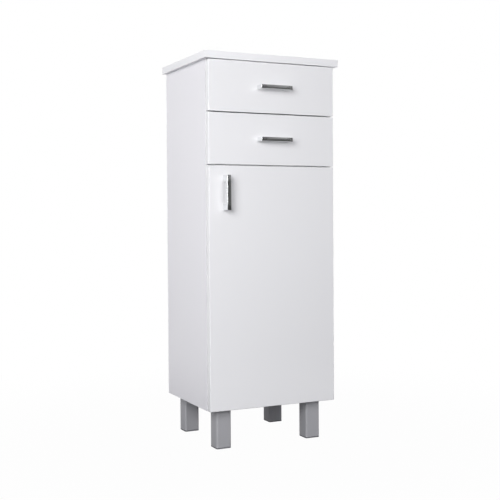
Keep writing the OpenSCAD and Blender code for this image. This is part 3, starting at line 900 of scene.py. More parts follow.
@dataclass
class SidePanel:
    """A side panel with its rebate for the back panel and its rows of shelf-pin holes.

    Attributes:
        node: The frame's node.
        name: The piece's name.
        edge: Rounding of its edges, in millimetres.
        pin_radius: Radius of a shelf-pin hole, in millimetres.
        pin_depth: Depth of a shelf-pin hole, in millimetres.
        pin_step: Spacing of the holes, in millimetres.
        rows: Rows of holes above and below the shelf's own.
    """

    node: str
    name: str
    edge: float = 0.15
    pin_radius: float = 2.5
    pin_depth: float = 10.0
    pin_step: float = 32.0
    rows: int = 2

    def build(self) -> bpy.types.Object:
        """Builds the panel.

        Returns:
            The piece's object.
        """
        low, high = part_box(self.node)
        outer, inner = (low.x, high.x) if low.x < 0 else (high.x, low.x)
        middle = (outer + inner) / 2
        rebate_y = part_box("back_panel")[0].y
        shape = Shape()
        shape.prism(
            [
                Vector((outer, low.y, low.z)),
                Vector((inner, low.y, low.z)),
                Vector((inner, rebate_y, low.z)),
                Vector((middle, rebate_y, low.z)),
                Vector((middle, high.y, low.z)),
                Vector((outer, high.y, low.z)),
            ],
            Vector((0, 0, high.z - low.z)),
        )
        front, outside = lies_at(Axis.Y, low.y), lies_at(Axis.X, outer)
        shape.soften(self.edge * MM, segments=2, where=lambda edge: front(edge) or outside(edge))
        shape.carve(self.pin_holes(inner, outer))
        shape.second_finish(-Y, SQUARELY)
        return Piece(self.name, self.node, [MELAMINE, EDGE_BAND]).finish(shape)

    def pin_holes(self, inner: float, outer: float) -> Shape:
        """Lays out the shelf-pin holes.

        Args:
            inner: Place of the panel's inner face.
            outer: Place of its outer face.

        Returns:
            The rods that the holes are cut with.
        """
        low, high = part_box("shelf_pins")
        into = math.copysign(1.0, outer - inner)
        along = X * into * (self.pin_depth + OVER) * MM
        collar = (high.z - low.z) / 2
        holes = Shape()
        for row in range(-self.rows, self.rows + 1):
            for y in (low.y + collar, high.y - collar):
                z = (low.z + high.z) / 2 + row * self.pin_step * MM
                start = Vector((inner - into * OVER * MM, y, z))
                holes.rod(start, start + along, self.pin_radius * MM, sides=24)
        return holes


@dataclass
class Shelf:
    """The loose shelf behind the door, banded along its front edge.

    Attributes:
        node: The frame's node.
        edge: Rounding of its edges, in millimetres.
    """

    node: str = "shelf"
    edge: float = 0.8

    def build(self) -> bpy.types.Object:
        """Builds the shelf.

        Returns:
            The piece's object.
        """
        low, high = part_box(self.node)
        shape = Shape()
        shape.block(low, high)
        shape.soften(self.edge * MM, segments=2)
        shape.second_finish(-Y, MOSTLY)
        return Piece("loose_shelf", self.node, [MELAMINE, EDGE_BAND]).finish(shape)


@dataclass
class EasedCopy:
    """A piece of the frame modelled again from its own mesh, with its outer corners eased.

    Attributes:
        node: The frame's node.
        made_of: What the piece's name ends with.
        finish: Its finish.
        ease: Rounding of its corners, in millimetres.
        shortest: Length of the shortest edge that is eased, in millimetres.
        banded: Way that its faces with an edge band look, if it has any.
    """

    node: str
    made_of: str
    finish: Finish
    ease: float
    shortest: float = 0.0
    banded: Vector | None = None

    def build(self) -> bpy.types.Object:
        """Builds the piece.

        Returns:
            The piece's object.
        """
        shape = Shape()
        shape.copied(self.node)
        shape.soften(self.ease * MM, segments=2, where=stands_out(self.shortest * MM))
        finishes = [self.finish]
        if self.banded is not None:
            finishes.append(EDGE_BAND)
            shape.second_finish(self.banded, SQUARELY)
        return Piece(f"{self.node}_{self.made_of}", self.node, finishes).finish(shape)


@dataclass
class Front:
    """A drawer front or the door: fibreboard with foil drawn over its face and edges.

    Attributes:
        node: The frame's node.
        name: The piece's name.
        corner: Rounding of its four corners, in millimetres.
        edge: Rounding of its outer edges, in millimetres.
        back_edge: Rounding of its edges at the back, in millimetres.
    """

    node: str
    name: str
    corner: float = 1.5
    edge: float = 2.0
    back_edge: float = 0.4

    def build(self) -> bpy.types.Object:
        """Builds the front.

        Returns:
            The piece's object.
        """
        low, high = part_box(self.node)
        shape = Shape()
        shape.block(low, high)
        shape.soften(self.corner * MM, segments=5, where=runs_along(Axis.Y))
        shape.soften(self.edge * MM, segments=6, where=lies_at(Axis.Y, low.y))
        shape.soften(self.back_edge * MM, segments=1, where=lies_at(Axis.Y, high.y))
        cutter = self.bores(high.y)
        if cutter is not None:
            shape.carve(cutter)
        shape.second_finish(Y, MOSTLY)
        return Piece(self.name, self.node, [GLOSS_FOIL, MELAMINE]).finish(shape)

    def bores(self, back_y: float) -> Shape | None:
        """Gives what is bored out of the back: nothing in a drawer front."""
        return None


@dataclass
class Door(Front):
    """The tall door, with a bore for each hinge cup.

    Attributes:
        cup_radius: Radius of a cup's bore, in millimetres.
        cup_depth: Depth of a cup's bore, in millimetres.
    """

    cup_radius: float = 17.5
    cup_depth: float = 13.0

    def bores(self, back_y: float) -> Shape:
        """Lays out the cup bores.

        Args:
            back_y: Place of the door's back.

        Returns:
            The rods that the bores are cut with.
        """
        holes = Shape()
        for cup in solids("hinge_cups"):
            low, high = span(cup)
            end = Vector(((low.x + high.x) / 2, back_y + OVER * MM, (low.z + high.z) / 2))
            holes.rod(end - Y * (self.cup_depth + OVER) * MM, end, self.cup_radius * MM, sides=64)
        return holes


# ------------------------------------------------------------------ fittings


class Lie(Enum):
    """Which way a bar handle lies on its front."""

    ACROSS = X
    UPRIGHT = Z


@dataclass
class BarHandle:
    """A chromed bar on two feet.

    Attributes:
        node: The frame's node.
        name: The piece's name.
        lie: Which way it lies.
        foot: Length of each foot along the bar, in millimetres.
        bar: Thickness of the bar, front to back, in millimetres.
        outer: Rounding of its outer edges, in millimetres.
        crown: How far the front bulges across its width, in millimetres.
        end_fall: How far the front falls back at its ends, in millimetres.
        end_share: Share of the bar's half length over which it falls back.
        cuts: How many cuts across the width and along the length carry these curves.
        crease: Edges sharper than this angle, in degrees, stay sharp.
    """

    node: str
    name: str
    lie: Lie
    foot: float = 16.0
    bar: float = 12.0
    outer: float = 0.5
    crown: float = 0.4
    end_fall: float = 1.0
    end_share: float = 0.4
    cuts: tuple[int, int] = (7, 31)
    crease: float = 30.0

    def build(self) -> bpy.types.Object:
        """Builds the handle.

        Returns:
            The piece's object.
        """
        low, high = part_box(self.node)
        middle, size = (low + high) / 2, high - low
        along = self.lie.value
        across = Z if self.lie is Lie.ACROSS else X
        half, width = along.dot(size) / 2, across.dot(size)
        inner = half - self.foot * MM
        outline = [
            (-half, high.y), (-half, low.y), (half, low.y), (half, high.y),
            (inner, high.y), (inner, low.y + self.bar * MM),
            (-inner, low.y + self.bar * MM), (-inner, high.y),
        ]
        start = Vector((middle.x, 0, middle.z)) - across * width / 2
        shape = Shape()
        shape.prism([start + along * s + Vector((0, y, 0)) for s, y in outline], across * width)
        back = lies_at(Axis.Y, high.y)
        shape.soften(self.outer * MM, segments=4, where=lambda edge: not back(edge))
        for axis, reach, cuts in ((across, width / 2, self.cuts[0]), (along, half, self.cuts[1])):
            self.slice(shape, axis, axis.dot(middle), reach, cuts)
        for vert in shape.mesh.verts:
            depth = min((vert.co.y - low.y) / (self.bar * MM), 1.0)
            vert.co.y += self.curve(vert.co - middle, across, along, width / 2, half) * (1 - depth)
        return Piece(self.name, self.node, [CHROME], self.crease).finish(shape)

    def slice(self, shape: Shape, axis: Vector, centre: float, half: float, cuts: int) -> None:
        """Cuts the handle's faces across an axis at even steps.

        Args:
            shape: The handle's shape.
            axis: Unit vector that the cuts are square to.
            centre: Place of the bar's middle on that vector.
            half: Half of the bar's extent along it.
            cuts: How many cuts there are.
        """
        for cut in range(1, cuts + 1):
            place = centre + half * (2 * cut / (cuts + 1) - 1)
            everything = [*shape.mesh.verts, *shape.mesh.edges, *shape.mesh.faces]
            bmesh.ops.bisect_plane(
                shape.mesh, geom=everything, dist=WELD, plane_co=axis * place, plane_no=axis
            )

    def curve(
        self, place: Vector, across: Vector, along: Vector, half_width: float, half: float
    ) -> float:
        """Gives how far the front lies behind its foremost point.

        Args:
            place: A point, from the bar's middle.
            across: Unit vector across the bar.
            along: Unit vector along the bar.
            half_width: Half of the bar's width.
            half: Half of its length.

        Returns:
            The distance in metres: a crown across the width, and ends that fall back.
        """
        aside = place.dot(across) / half_width
        past = max(abs(place.dot(along)) / half - (1 - self.end_share), 0.0) / self.end_share
        return (self.crown * aside ** 2 + self.end_fall * past ** 2) * MM


@dataclass
class Leg:
    """A square leg of extruded tube with rounded upright edges.

    Attributes:
        corner: Which leg it is.
        radius: Outer rounding, in millimetres.
        wall: Wall thickness, in millimetres.
    """

    corner: Corner
    radius: float = 5.0
    wall: float = 2.0

    def build(self) -> bpy.types.Object:
        """Builds the leg.

        Returns:
            The piece's object.
        """
        node = f"leg_{self.corner.value}"
        low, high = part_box(node)
        shape = self.tube(low, high, self.radius)
        inset = Vector((self.wall, self.wall, -OVER)) * MM
        shape.carve(self.tube(low + inset, high - inset, self.radius - self.wall))
        return Piece(f"{node}_tube", node, [LEG_SILVER], CREASE).finish(shape)

    def tube(self, low: Vector, high: Vector, radius: float) -> Shape:
        """Makes a square block with rounded upright edges.

        Args:
            low: Its lowest corner.
            high: Its highest corner.
            radius: The rounding, in millimetres.

        Returns:
            The block as a shape.
        """
        shape = Shape()
        shape.block(low, high)
        shape.soften(radius * MM, segments=8, where=runs_along(Axis.Z))
        return shape


@dataclass
class LevellingFoot:
    """A square foot plate on a threaded stem.

    Attributes:
        corner: Which leg's foot it is.
        plate: Thickness of the plate, in millimetres.
        radius: Rounding of the plate's corners, in millimetres.
        edge: Rounding of its edges, in millimetres.
        stem: Outer radius of the thread, in millimetres.
        core: Radius at the thread's root, in millimetres.
        pitch: Spacing of the thread, in millimetres.
    """

    corner: Corner
    plate: float = 3.0
    radius: float = 5.0
    edge: float = 0.6
    stem: float = 4.0
    core: float = 3.4
    pitch: float = 1.25

    def build(self) -> bpy.types.Object:
        """Builds the foot.

        Returns:
            The piece's object.
        """
        node = f"foot_{self.corner.value}"
        low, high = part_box(node)
        top = Vector((high.x, high.y, low.z + self.plate * MM))
        shape = Shape()
        shape.block(low, top)
        shape.soften(self.radius * MM, segments=8, where=runs_along(Axis.Z))
        under, over = lies_at(Axis.Z, low.z), lies_at(Axis.Z, top.z)
        shape.soften(self.edge * MM, segments=2, where=lambda edge: under(edge) or over(edge))
        root = Vector(((low.x + high.x) / 2, (low.y + high.y) / 2, top.z))
        shape.turned(self.thread(high.z - top.z), root, Z, steps=32)
        return Piece(f"{node}_glide", node, [GREY_PLASTIC], CREASE).finish(shape)

    def thread(self, length: float) -> Outline:
        """Draws the stem's half section, with a ring for each turn of the thread.

        Args:
            length: The stem's length.

        Returns:
            Distances from the axis and along it, in metres.
        """
        turns = int(length / (self.pitch * MM))
        points = [(0.0, 0.0)]
        for turn in range(turns):
            points.append((self.core * MM, turn * self.pitch * MM))
            points.append((self.stem * MM, (turn + 0.5) * self.pitch * MM))
        return points + [(self.core * MM, length), (0.0, length)]


@dataclass
class RollerPair:
    """Two nylon rollers on one line across the cabinet, each with a hub and a hollow face.

    Attributes:
        node: The frame's node, which is also the body's name.
        width: Width of a roller, in millimetres.
        bore: Radius of its bore, in millimetres.
        hub: Radius of its hub, in millimetres.
        rim: Width of its rim, in millimetres.
        hollow: Depth of the hollow in its faces, in millimetres.
        soft: Width of the slopes at its edges, in millimetres.
    """

    node: str
    width: float = 8.0
    bore: float = 2.05
    hub: float = 4.2
    rim: float = 1.8
    hollow: float = 1.4
    soft: float = 0.5

    def build(self) -> bpy.types.Object:
        """Builds both rollers as one piece.

        Returns:
            The piece's object.
        """
        low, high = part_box(self.node)
        radius = (high.z - low.z) / 2 / MM
        half, soft = self.width / 2, self.soft
        face = [
            (self.bore, half), (self.hub, half), (self.hub + soft, half - self.hollow),
            (radius - self.rim - soft, half - self.hollow), (radius - self.rim, half),
            (radius - soft, half), (radius, half - soft),
        ]
        section = face + [(out, -along) for out, along in reversed(face)] + [face[0]]
        metres = [(out * MM, along * MM) for out, along in section]
        middle = (low + high) / 2
        shape = Shape()
        for side in (-1, 1):
            centre = Vector((side * (high.x - half * MM), middle.y, middle.z))
            shape.turned(metres, centre, X, steps=56)
        return Piece(f"{self.node}_turned", self.node, [NYLON], CREASE).finish(shape)


@dataclass
class Buffers:
    """Soft domes on the door's back, at its free edge.

    Attributes:
        node: The frame's node.
        rounding: Rounding of a dome's rim, in millimetres.
    """

    node: str = "door_bumpers"
    rounding: float = 1.4

    def build(self) -> bpy.types.Object:
        """Builds both domes as one piece.

        Returns:
            The piece's object.
        """
        low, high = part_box(self.node)
        radius, height, soft = (high.x - low.x) / 2, high.y - low.y, self.rounding * MM
        arc = quarter((radius - soft, height - soft), soft, 0)
        dome = [(0.0, 0.0), (radius, 0.0), *arc, (0.0, height)]
        shape = Shape()
        for z in (low.z + radius, high.z - radius):
            shape.turned(dome, Vector(((low.x + high.x) / 2, low.y, z)), Y, steps=40)
        return Piece("door_buffer_domes", self.node, [SOFT_CLEAR], CREASE).finish(shape)


@dataclass
class Hinges:
    """The two concealed hinges: winged mounting plates, gooseneck arms, and cups with flanges.

    Attributes:
        wing: Half width of a plate's wings, in millimetres.
        waist: Half height of a plate between its wings, in millimetres.
        plate_corner: Rounding of a plate's corners, in millimetres.
        edge: Rounding of the pressed edges, in millimetres.
        arm_sheet: Thickness of an arm, in millimetres.
        neck: Half height of an arm's neck, in millimetres.
        broad: Half height of an arm over its plate, in millimetres.
        slope: Length over which an arm broadens, in millimetres.
        knuckle: Radius of an arm's knuckle, in millimetres.
        cup_wall: Thickness of a cup's wall, in millimetres.
        cup_round: Rounding of a cup's floor inside, in millimetres.
        flange: Thickness of a cup's flange, in millimetres.
        flange_width: Width of the flange's band with the screws, in millimetres.
        flange_corner: Rounding of the flange's corners, in millimetres.
        ear: Size of the ears that hold a pin, in millimetres.
        ear_at: Distance of an ear's middle from the pin's middle, in millimetres.
    """

    wing: float = 8.0
    waist: float = 10.0
    plate_corner: float = 4.0
    edge: float = 0.35
    arm_sheet: float = 2.4
    neck: float = 4.0
    broad: float = 6.5
    slope: float = 8.0
    knuckle: float = 1.9
    cup_wall: float = 0.8
    cup_round: float = 3.0
    flange: float = 1.0
    flange_width: float = 16.0
    flange_corner: float = 5.0
    ear: tuple[float, float, float] = (6.0, 6.0, 3.2)
    ear_at: float = 5.9

    def build(self) -> None:
        """Builds the plates, the arms and the cups, each kind as one piece."""
        for node, name, shape_one in (
            ("hinge_plates", "hinge_winged_plates", self.plate),
            ("hinge_arms", "hinge_gooseneck_arms", self.arm),
            ("hinge_cups", "hinge_pressed_cups", self.cup),
        ):
            shape = Shape()
            for points in solids(node):
                shape.take(shape_one(*span(points)))
            Piece(name, node, [NICKEL], CREASE).finish(shape)

    def plate(self, low: Vector, high: Vector) -> Shape:
        """Makes a mounting plate: a cross with round corners.

        Args:
            low: Lowest corner of the frame's plate.
            high: Its highest corner.

        Returns:
            The plate as a shape.
        """
        middle, half = (low + high) / 2, (high - low) / 2
        outline = cross(half.y, self.wing * MM, self.waist * MM, half.z)
        shape = Shape()
        shape.prism(
            [Vector((low.x, middle.y + y, middle.z + z)) for y, z in outline], X * (high.x - low.x)
        )
        shape.soften(self.plate_corner * MM, segments=5, where=runs_along(Axis.X))
        shape.soften(self.edge * MM, segments=2, where=lies_at(Axis.X, low.x))
        return shape

    def arm(self, low: Vector, high: Vector) -> Shape:
        """Makes an arm: a neck that broadens over the plate, a bend and a knuckle.

        Args:
            low: Lowest corner of the frame's arm.
            high: Its highest corner.

        Returns:
            The arm as a shape.
        """
        z = (low.z + high.z) / 2
        neck, broad, sheet = self.neck * MM, self.broad * MM, self.arm_sheet * MM
        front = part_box("hinge_plates")[0].y - self.slope * MM / 2
        side = [(low.y, neck), (front, neck), (front + self.slope * MM, broad), (high.y, broad)]
        outline = side + [(y, -out) for y, out in reversed(side)]
        shape = Shape()
        shape.prism([Vector((low.x, y, z + out)) for y, out in outline], X * sheet)
        back, level = lies_at(Axis.Y, high.y), runs_along(Axis.X)
        shape.soften(
            self.plate_corner * MM / 2, segments=4, where=lambda edge: back(edge) and level(edge)
        )
        shape.soften(self.edge * MM, segments=2, where=lies_at(Axis.X, low.x))
        pin = Vector((high.x - self.knuckle * MM, low.y + self.knuckle * MM, z))
        bend = Shape()
        bend.block(Vector((low.x + self.edge * MM, low.y, low.z)), Vector((pin.x, pin.y, high.z)))
        shape.join(bend)
        knuckle = Shape()
        knuckle.rod(pin - Z * neck, pin + Z * neck, self.knuckle * MM)
        shape.join(knuckle)
        return shape

    def cup(self, low: Vector, high: Vector) -> Shape:
        """Makes a cup: a flange with round corners, a dish, and two ears for the pin.

        Args:
            low: Lowest corner of the frame's cup.
            high: Its highest corner.

        Returns:
            The cup as a shape.
        """
        radius, height = (high.x - low.x) / 2, high.y - low.y
        edge, wall, bend = self.edge * MM, self.cup_wall * MM, self.cup_round * MM
        centre = Vector((low.x + radius, low.y, (low.z + high.z) / 2))
        shape = Shape()
        shape.block(
            Vector((low.x, high.y - self.flange * MM, low.z)),
            Vector((low.x + self.flange_width * MM, high.y, high.z)),
        )
        shape.soften(self.flange_corner * MM, segments=6, where=runs_along(Axis.Y))
        shape.soften(edge, segments=2, where=lies_at(Axis.Y, high.y))
        dish = Shape()
        dish.turned(drum(radius, height, edge), centre, Y, steps=64)
        shape.join(dish)
        inner = radius - wall
        arc = quarter((inner - bend, wall + bend), bend, -90)
        bowl = [(0.0, wall), *arc, (inner, height + wall), (0.0, height + wall)]
        hollow = Shape()
        hollow.turned(bowl, centre, Y, steps=64)
        shape.carve(hollow)
        pin = min((span(p) for p in solids("hinge_pins")), key=lambda box: abs(box[0].z - centre.z))
        middle, ear = (pin[0] + pin[1]) / 2, Vector(self.ear) * MM
        for side in (-1, 1):
            place = middle + Z * side * self.ear_at * MM
            block = Shape()
            block.block(place - ear / 2, place + ear / 2)
            shape.join(block)
        return shape


@dataclass(frozen=True)
class Fastener:
    """A turned fastener's place and sizes, in metres.

    Attributes:
        start: Middle of its head's outer face.
        into: Unit vector from its head to its tip.
        length: Overall length.
        head: Radius and height of its head; a headless one has height zero.
        shank: Radius of its shank.
    """

    start: Vector
    into: Vector
    length: float
    head: tuple[float, float]
    shank: float

    @classmethod
    def read(cls, points: Sequence[Vector]) -> "Fastener":
        """Measures a solid of the frame.

        Args:
            points: The solid's points.

        Returns:
            The fastener.
        """
        low, high = span(points)
        middle, size = (low + high) / 2, high - low
        number = min(Axis, key=lambda one: abs(size[one - 1] - size[one - 2]))
        axis = (X, Y, Z)[number]
        reach = [
            (point, (point - middle - axis * (point - middle).dot(axis)).length) for point in points
        ]
        at_low, at_high = (
            max(out for point, out in reach if abs(point[number] - end[number]) < NEAR)
            for end in (low, high)
        )
        into = axis if at_low > at_high else -axis
        start = middle - into * size[number] / 2
        shank = min(at_low, at_high)
        headed = [(point - start).dot(into) for point, out in reach if out > shank + NEAR]
        head = (max(at_low, at_high), max(headed, default=0.0))
        return cls(start, into, size[number], head, shank)


@dataclass
class Screws:
    """Cross-recessed screws with domed heads and pointed tips.

    Attributes:
        node: The frame's node with all of them.
        recess: Half length, half width and depth of the cross, as shares of the head's radius,
            radius and height.
        over: How far over a head the cross starts to cut, as a share of its height.
        dome: Half section of a head's dome, as shares of its radius and height.
        blunt: Slope at a headless one's flat end, in shank radii.
        tip: Length of the point, in shank radii.
        steps: How many steps make each one round.
    """

    node: str
    recess: tuple[float, float, float] = (0.6, 0.14, 0.6)
    over: float = 0.25
    dome: tuple[tuple[float, float], ...] = (
        (0.45, 0.0), (0.75, 0.08), (0.92, 0.28), (1.0, 0.55), (1.0, 1.0),
    )
    blunt: float = 0.2
    tip: float = 1.5
    steps: int = 24

    def build(self) -> bpy.types.Object:
        """Builds all screws of the node as one piece.

        Returns:
            The piece's object.
        """
        shape, crosses = Shape(), Shape()
        for points in solids(self.node):
            screw = Fastener.read(points)
            shape.turned(self.section(screw), screw.start, screw.into, self.steps)
            if screw.head[1] > 0:
                self.add_recess(crosses, screw)
        shape.carve(crosses)
        return Piece(f"{self.node}_cross_headed", self.node, [ZINC], CREASE).finish(shape)

    def section(self, screw: Fastener) -> Outline:
        """Draws a screw's half section.

        Args:
            screw: The screw.

        Returns:
            Distances from its axis and along it.
        """
        radius, height = screw.head
        shank = screw.shank
        tip = [(shank, screw.length - self.tip * shank), (0.0, screw.length)]
        if height == 0:
            return [(0.0, 0.0), (shank * (1 - self.blunt), 0.0), (shank, shank * self.blunt), *tip]
        dome = [(radius * out, height * deep) for out, deep in self.dome]
        return [(0.0, 0.0), *dome, (shank, height), *tip]

    def add_recess(self, crosses: Shape, screw: Fastener) -> None:
        """Adds the cross that is cut into a head.

        Args:
            crosses: The shape that gathers them.
            screw: The screw.
        """
        radius, height = screw.head
        long, wide, deep = self.recess
        over = self.over * height
        side = screw.into.orthogonal().normalized()
        crosses.star(
            screw.start - screw.into * over, (side, screw.into.cross(side)),
            (long * radius, wide * radius), screw.into * (over + deep * height),
        )


@dataclass
class Cams:
    """Quarter-turn cams: each is bored from the side for its bolt and slotted underneath.

    Attributes:
        node: The frame's node.
        edge: Rounding of a cam's rims, in millimetres.
        play: Play round the bolt, in millimetres.
        slot: Half length, half width and depth of the screwdriver's cross, in millimetres.
    """

    node: str = "carcass_cams"
    edge: float = 0.4
    play: float = 0.3
    slot: tuple[float, float, float] = (4.6, 0.7, 1.4)

    def build(self) -> bpy.types.Object:
        """Builds all cams as one piece.

        Returns:
            The piece's object.
        """
        bolts = [span(points) for points in solids("carcass_cam_bolts")]
        shape, cutters = Shape(), Shape()
        for points in solids(self.node):
            low, high = span(points)
            radius, height, edge = (high.x - low.x) / 2, high.z - low.z, self.edge * MM
            foot = Vector((low.x + radius, (low.y + high.y) / 2, low.z))
            shape.turned(drum(radius, height, edge), foot, Z)
            bolt = min(bolts, key=lambda box: ((box[0] + box[1]) / 2 - foot).length)
            self.bore(cutters, foot, bolt, radius)
            long, wide, deep = (size * MM for size in self.slot)
            arms = ((X + Y).normalized(), (Y - X).normalized())
            cutters.star(foot - Z * deep, arms, (long, wide), Z * 2 * deep)
        shape.carve(cutters)
        return Piece(f"{self.node}_slotted", self.node, [ZINC], CREASE).finish(shape)

    def bore(
        self, cutters: Shape, foot: Vector, bolt: tuple[Vector, Vector], radius: float
    ) -> None:
        """Adds the rod that bores a cam for its bolt.

        Args:
            cutters: The shape that gathers what is cut away.
            foot: Middle of the cam's lower face.
            bolt: Lowest and highest corner of its bolt.
            radius: The cam's radius.
        """
        low, high = bolt
        level = (low.z + high.z) / 2
        outwards = math.copysign(2 * radius, (low.x + high.x) / 2 - foot.x)
        start = Vector((foot.x, foot.y, level))
        cutters.rod(start, start + X * outwards, (high.z - low.z) / 2 + self.play * MM)


# ------------------------------------------------------------------ what stays from the frame


@dataclass
class FramePieces:
    """The frame's nodes that show as they are: zinc-plated fasteners, but for the named ones.

    Attributes:
        finishes: The finish of each node that isn't zinc plated.
    """

    finishes: dict[str, Finish] = field(
        default_factory=lambda: {
            "carcass_dowels": BEECH,
            "leg_plates": BLACK_PLASTIC,
            "leg_plugs": BLACK_PLASTIC,
        }
    )

    def dress(self) -> None:
        """Gives every node that shows its finish."""
        for name, node in frame["nodes"].items():
            if node.hide_render:
                continue
            finish = self.finishes.get(name, ZINC)
            node.data.materials.clear()
            node.data.materials.append(finish.material())
            log.info("%s keeps its shape, in %s", name, finish.name)


# ------------------------------------------------------------------ studio


@dataclass
class Softbox:
    """A square lamp that looks at the object.

    Attributes:
        name: The lamp's name.
        place: Where it hangs, in metres.
        side: Length of its side, in metres.
        power: Its power, in watts.
        aim: Level of the point over the middle of the floor that it looks at, in metres.
        colour: Its colour, sRGB hex.
        mirrored: Whether mirrors show it.
    """

    name: str
    place: Vector
    side: float
    power: float
    aim: float = 0.55
    colour: str = WHITE
    mirrored: bool = False

    def build(self) -> None:
        """Hangs the lamp."""
        lamp = bpy.data.lights.new(self.name, "AREA")
        lamp.shape, lamp.size, lamp.energy = "SQUARE", self.side, self.power
        lamp.color = linear(self.colour)[:3]
        made = bpy.data.objects.new(self.name, lamp)
        made.location = self.place
        made.rotation_mode = "QUATERNION"
        made.rotation_quaternion = (Z * self.aim - self.place).to_track_quat("-Z", "Y")
        made.visible_camera = False
        made.visible_glossy = self.mirrored
        bpy.context.scene.collection.objects.link(made)


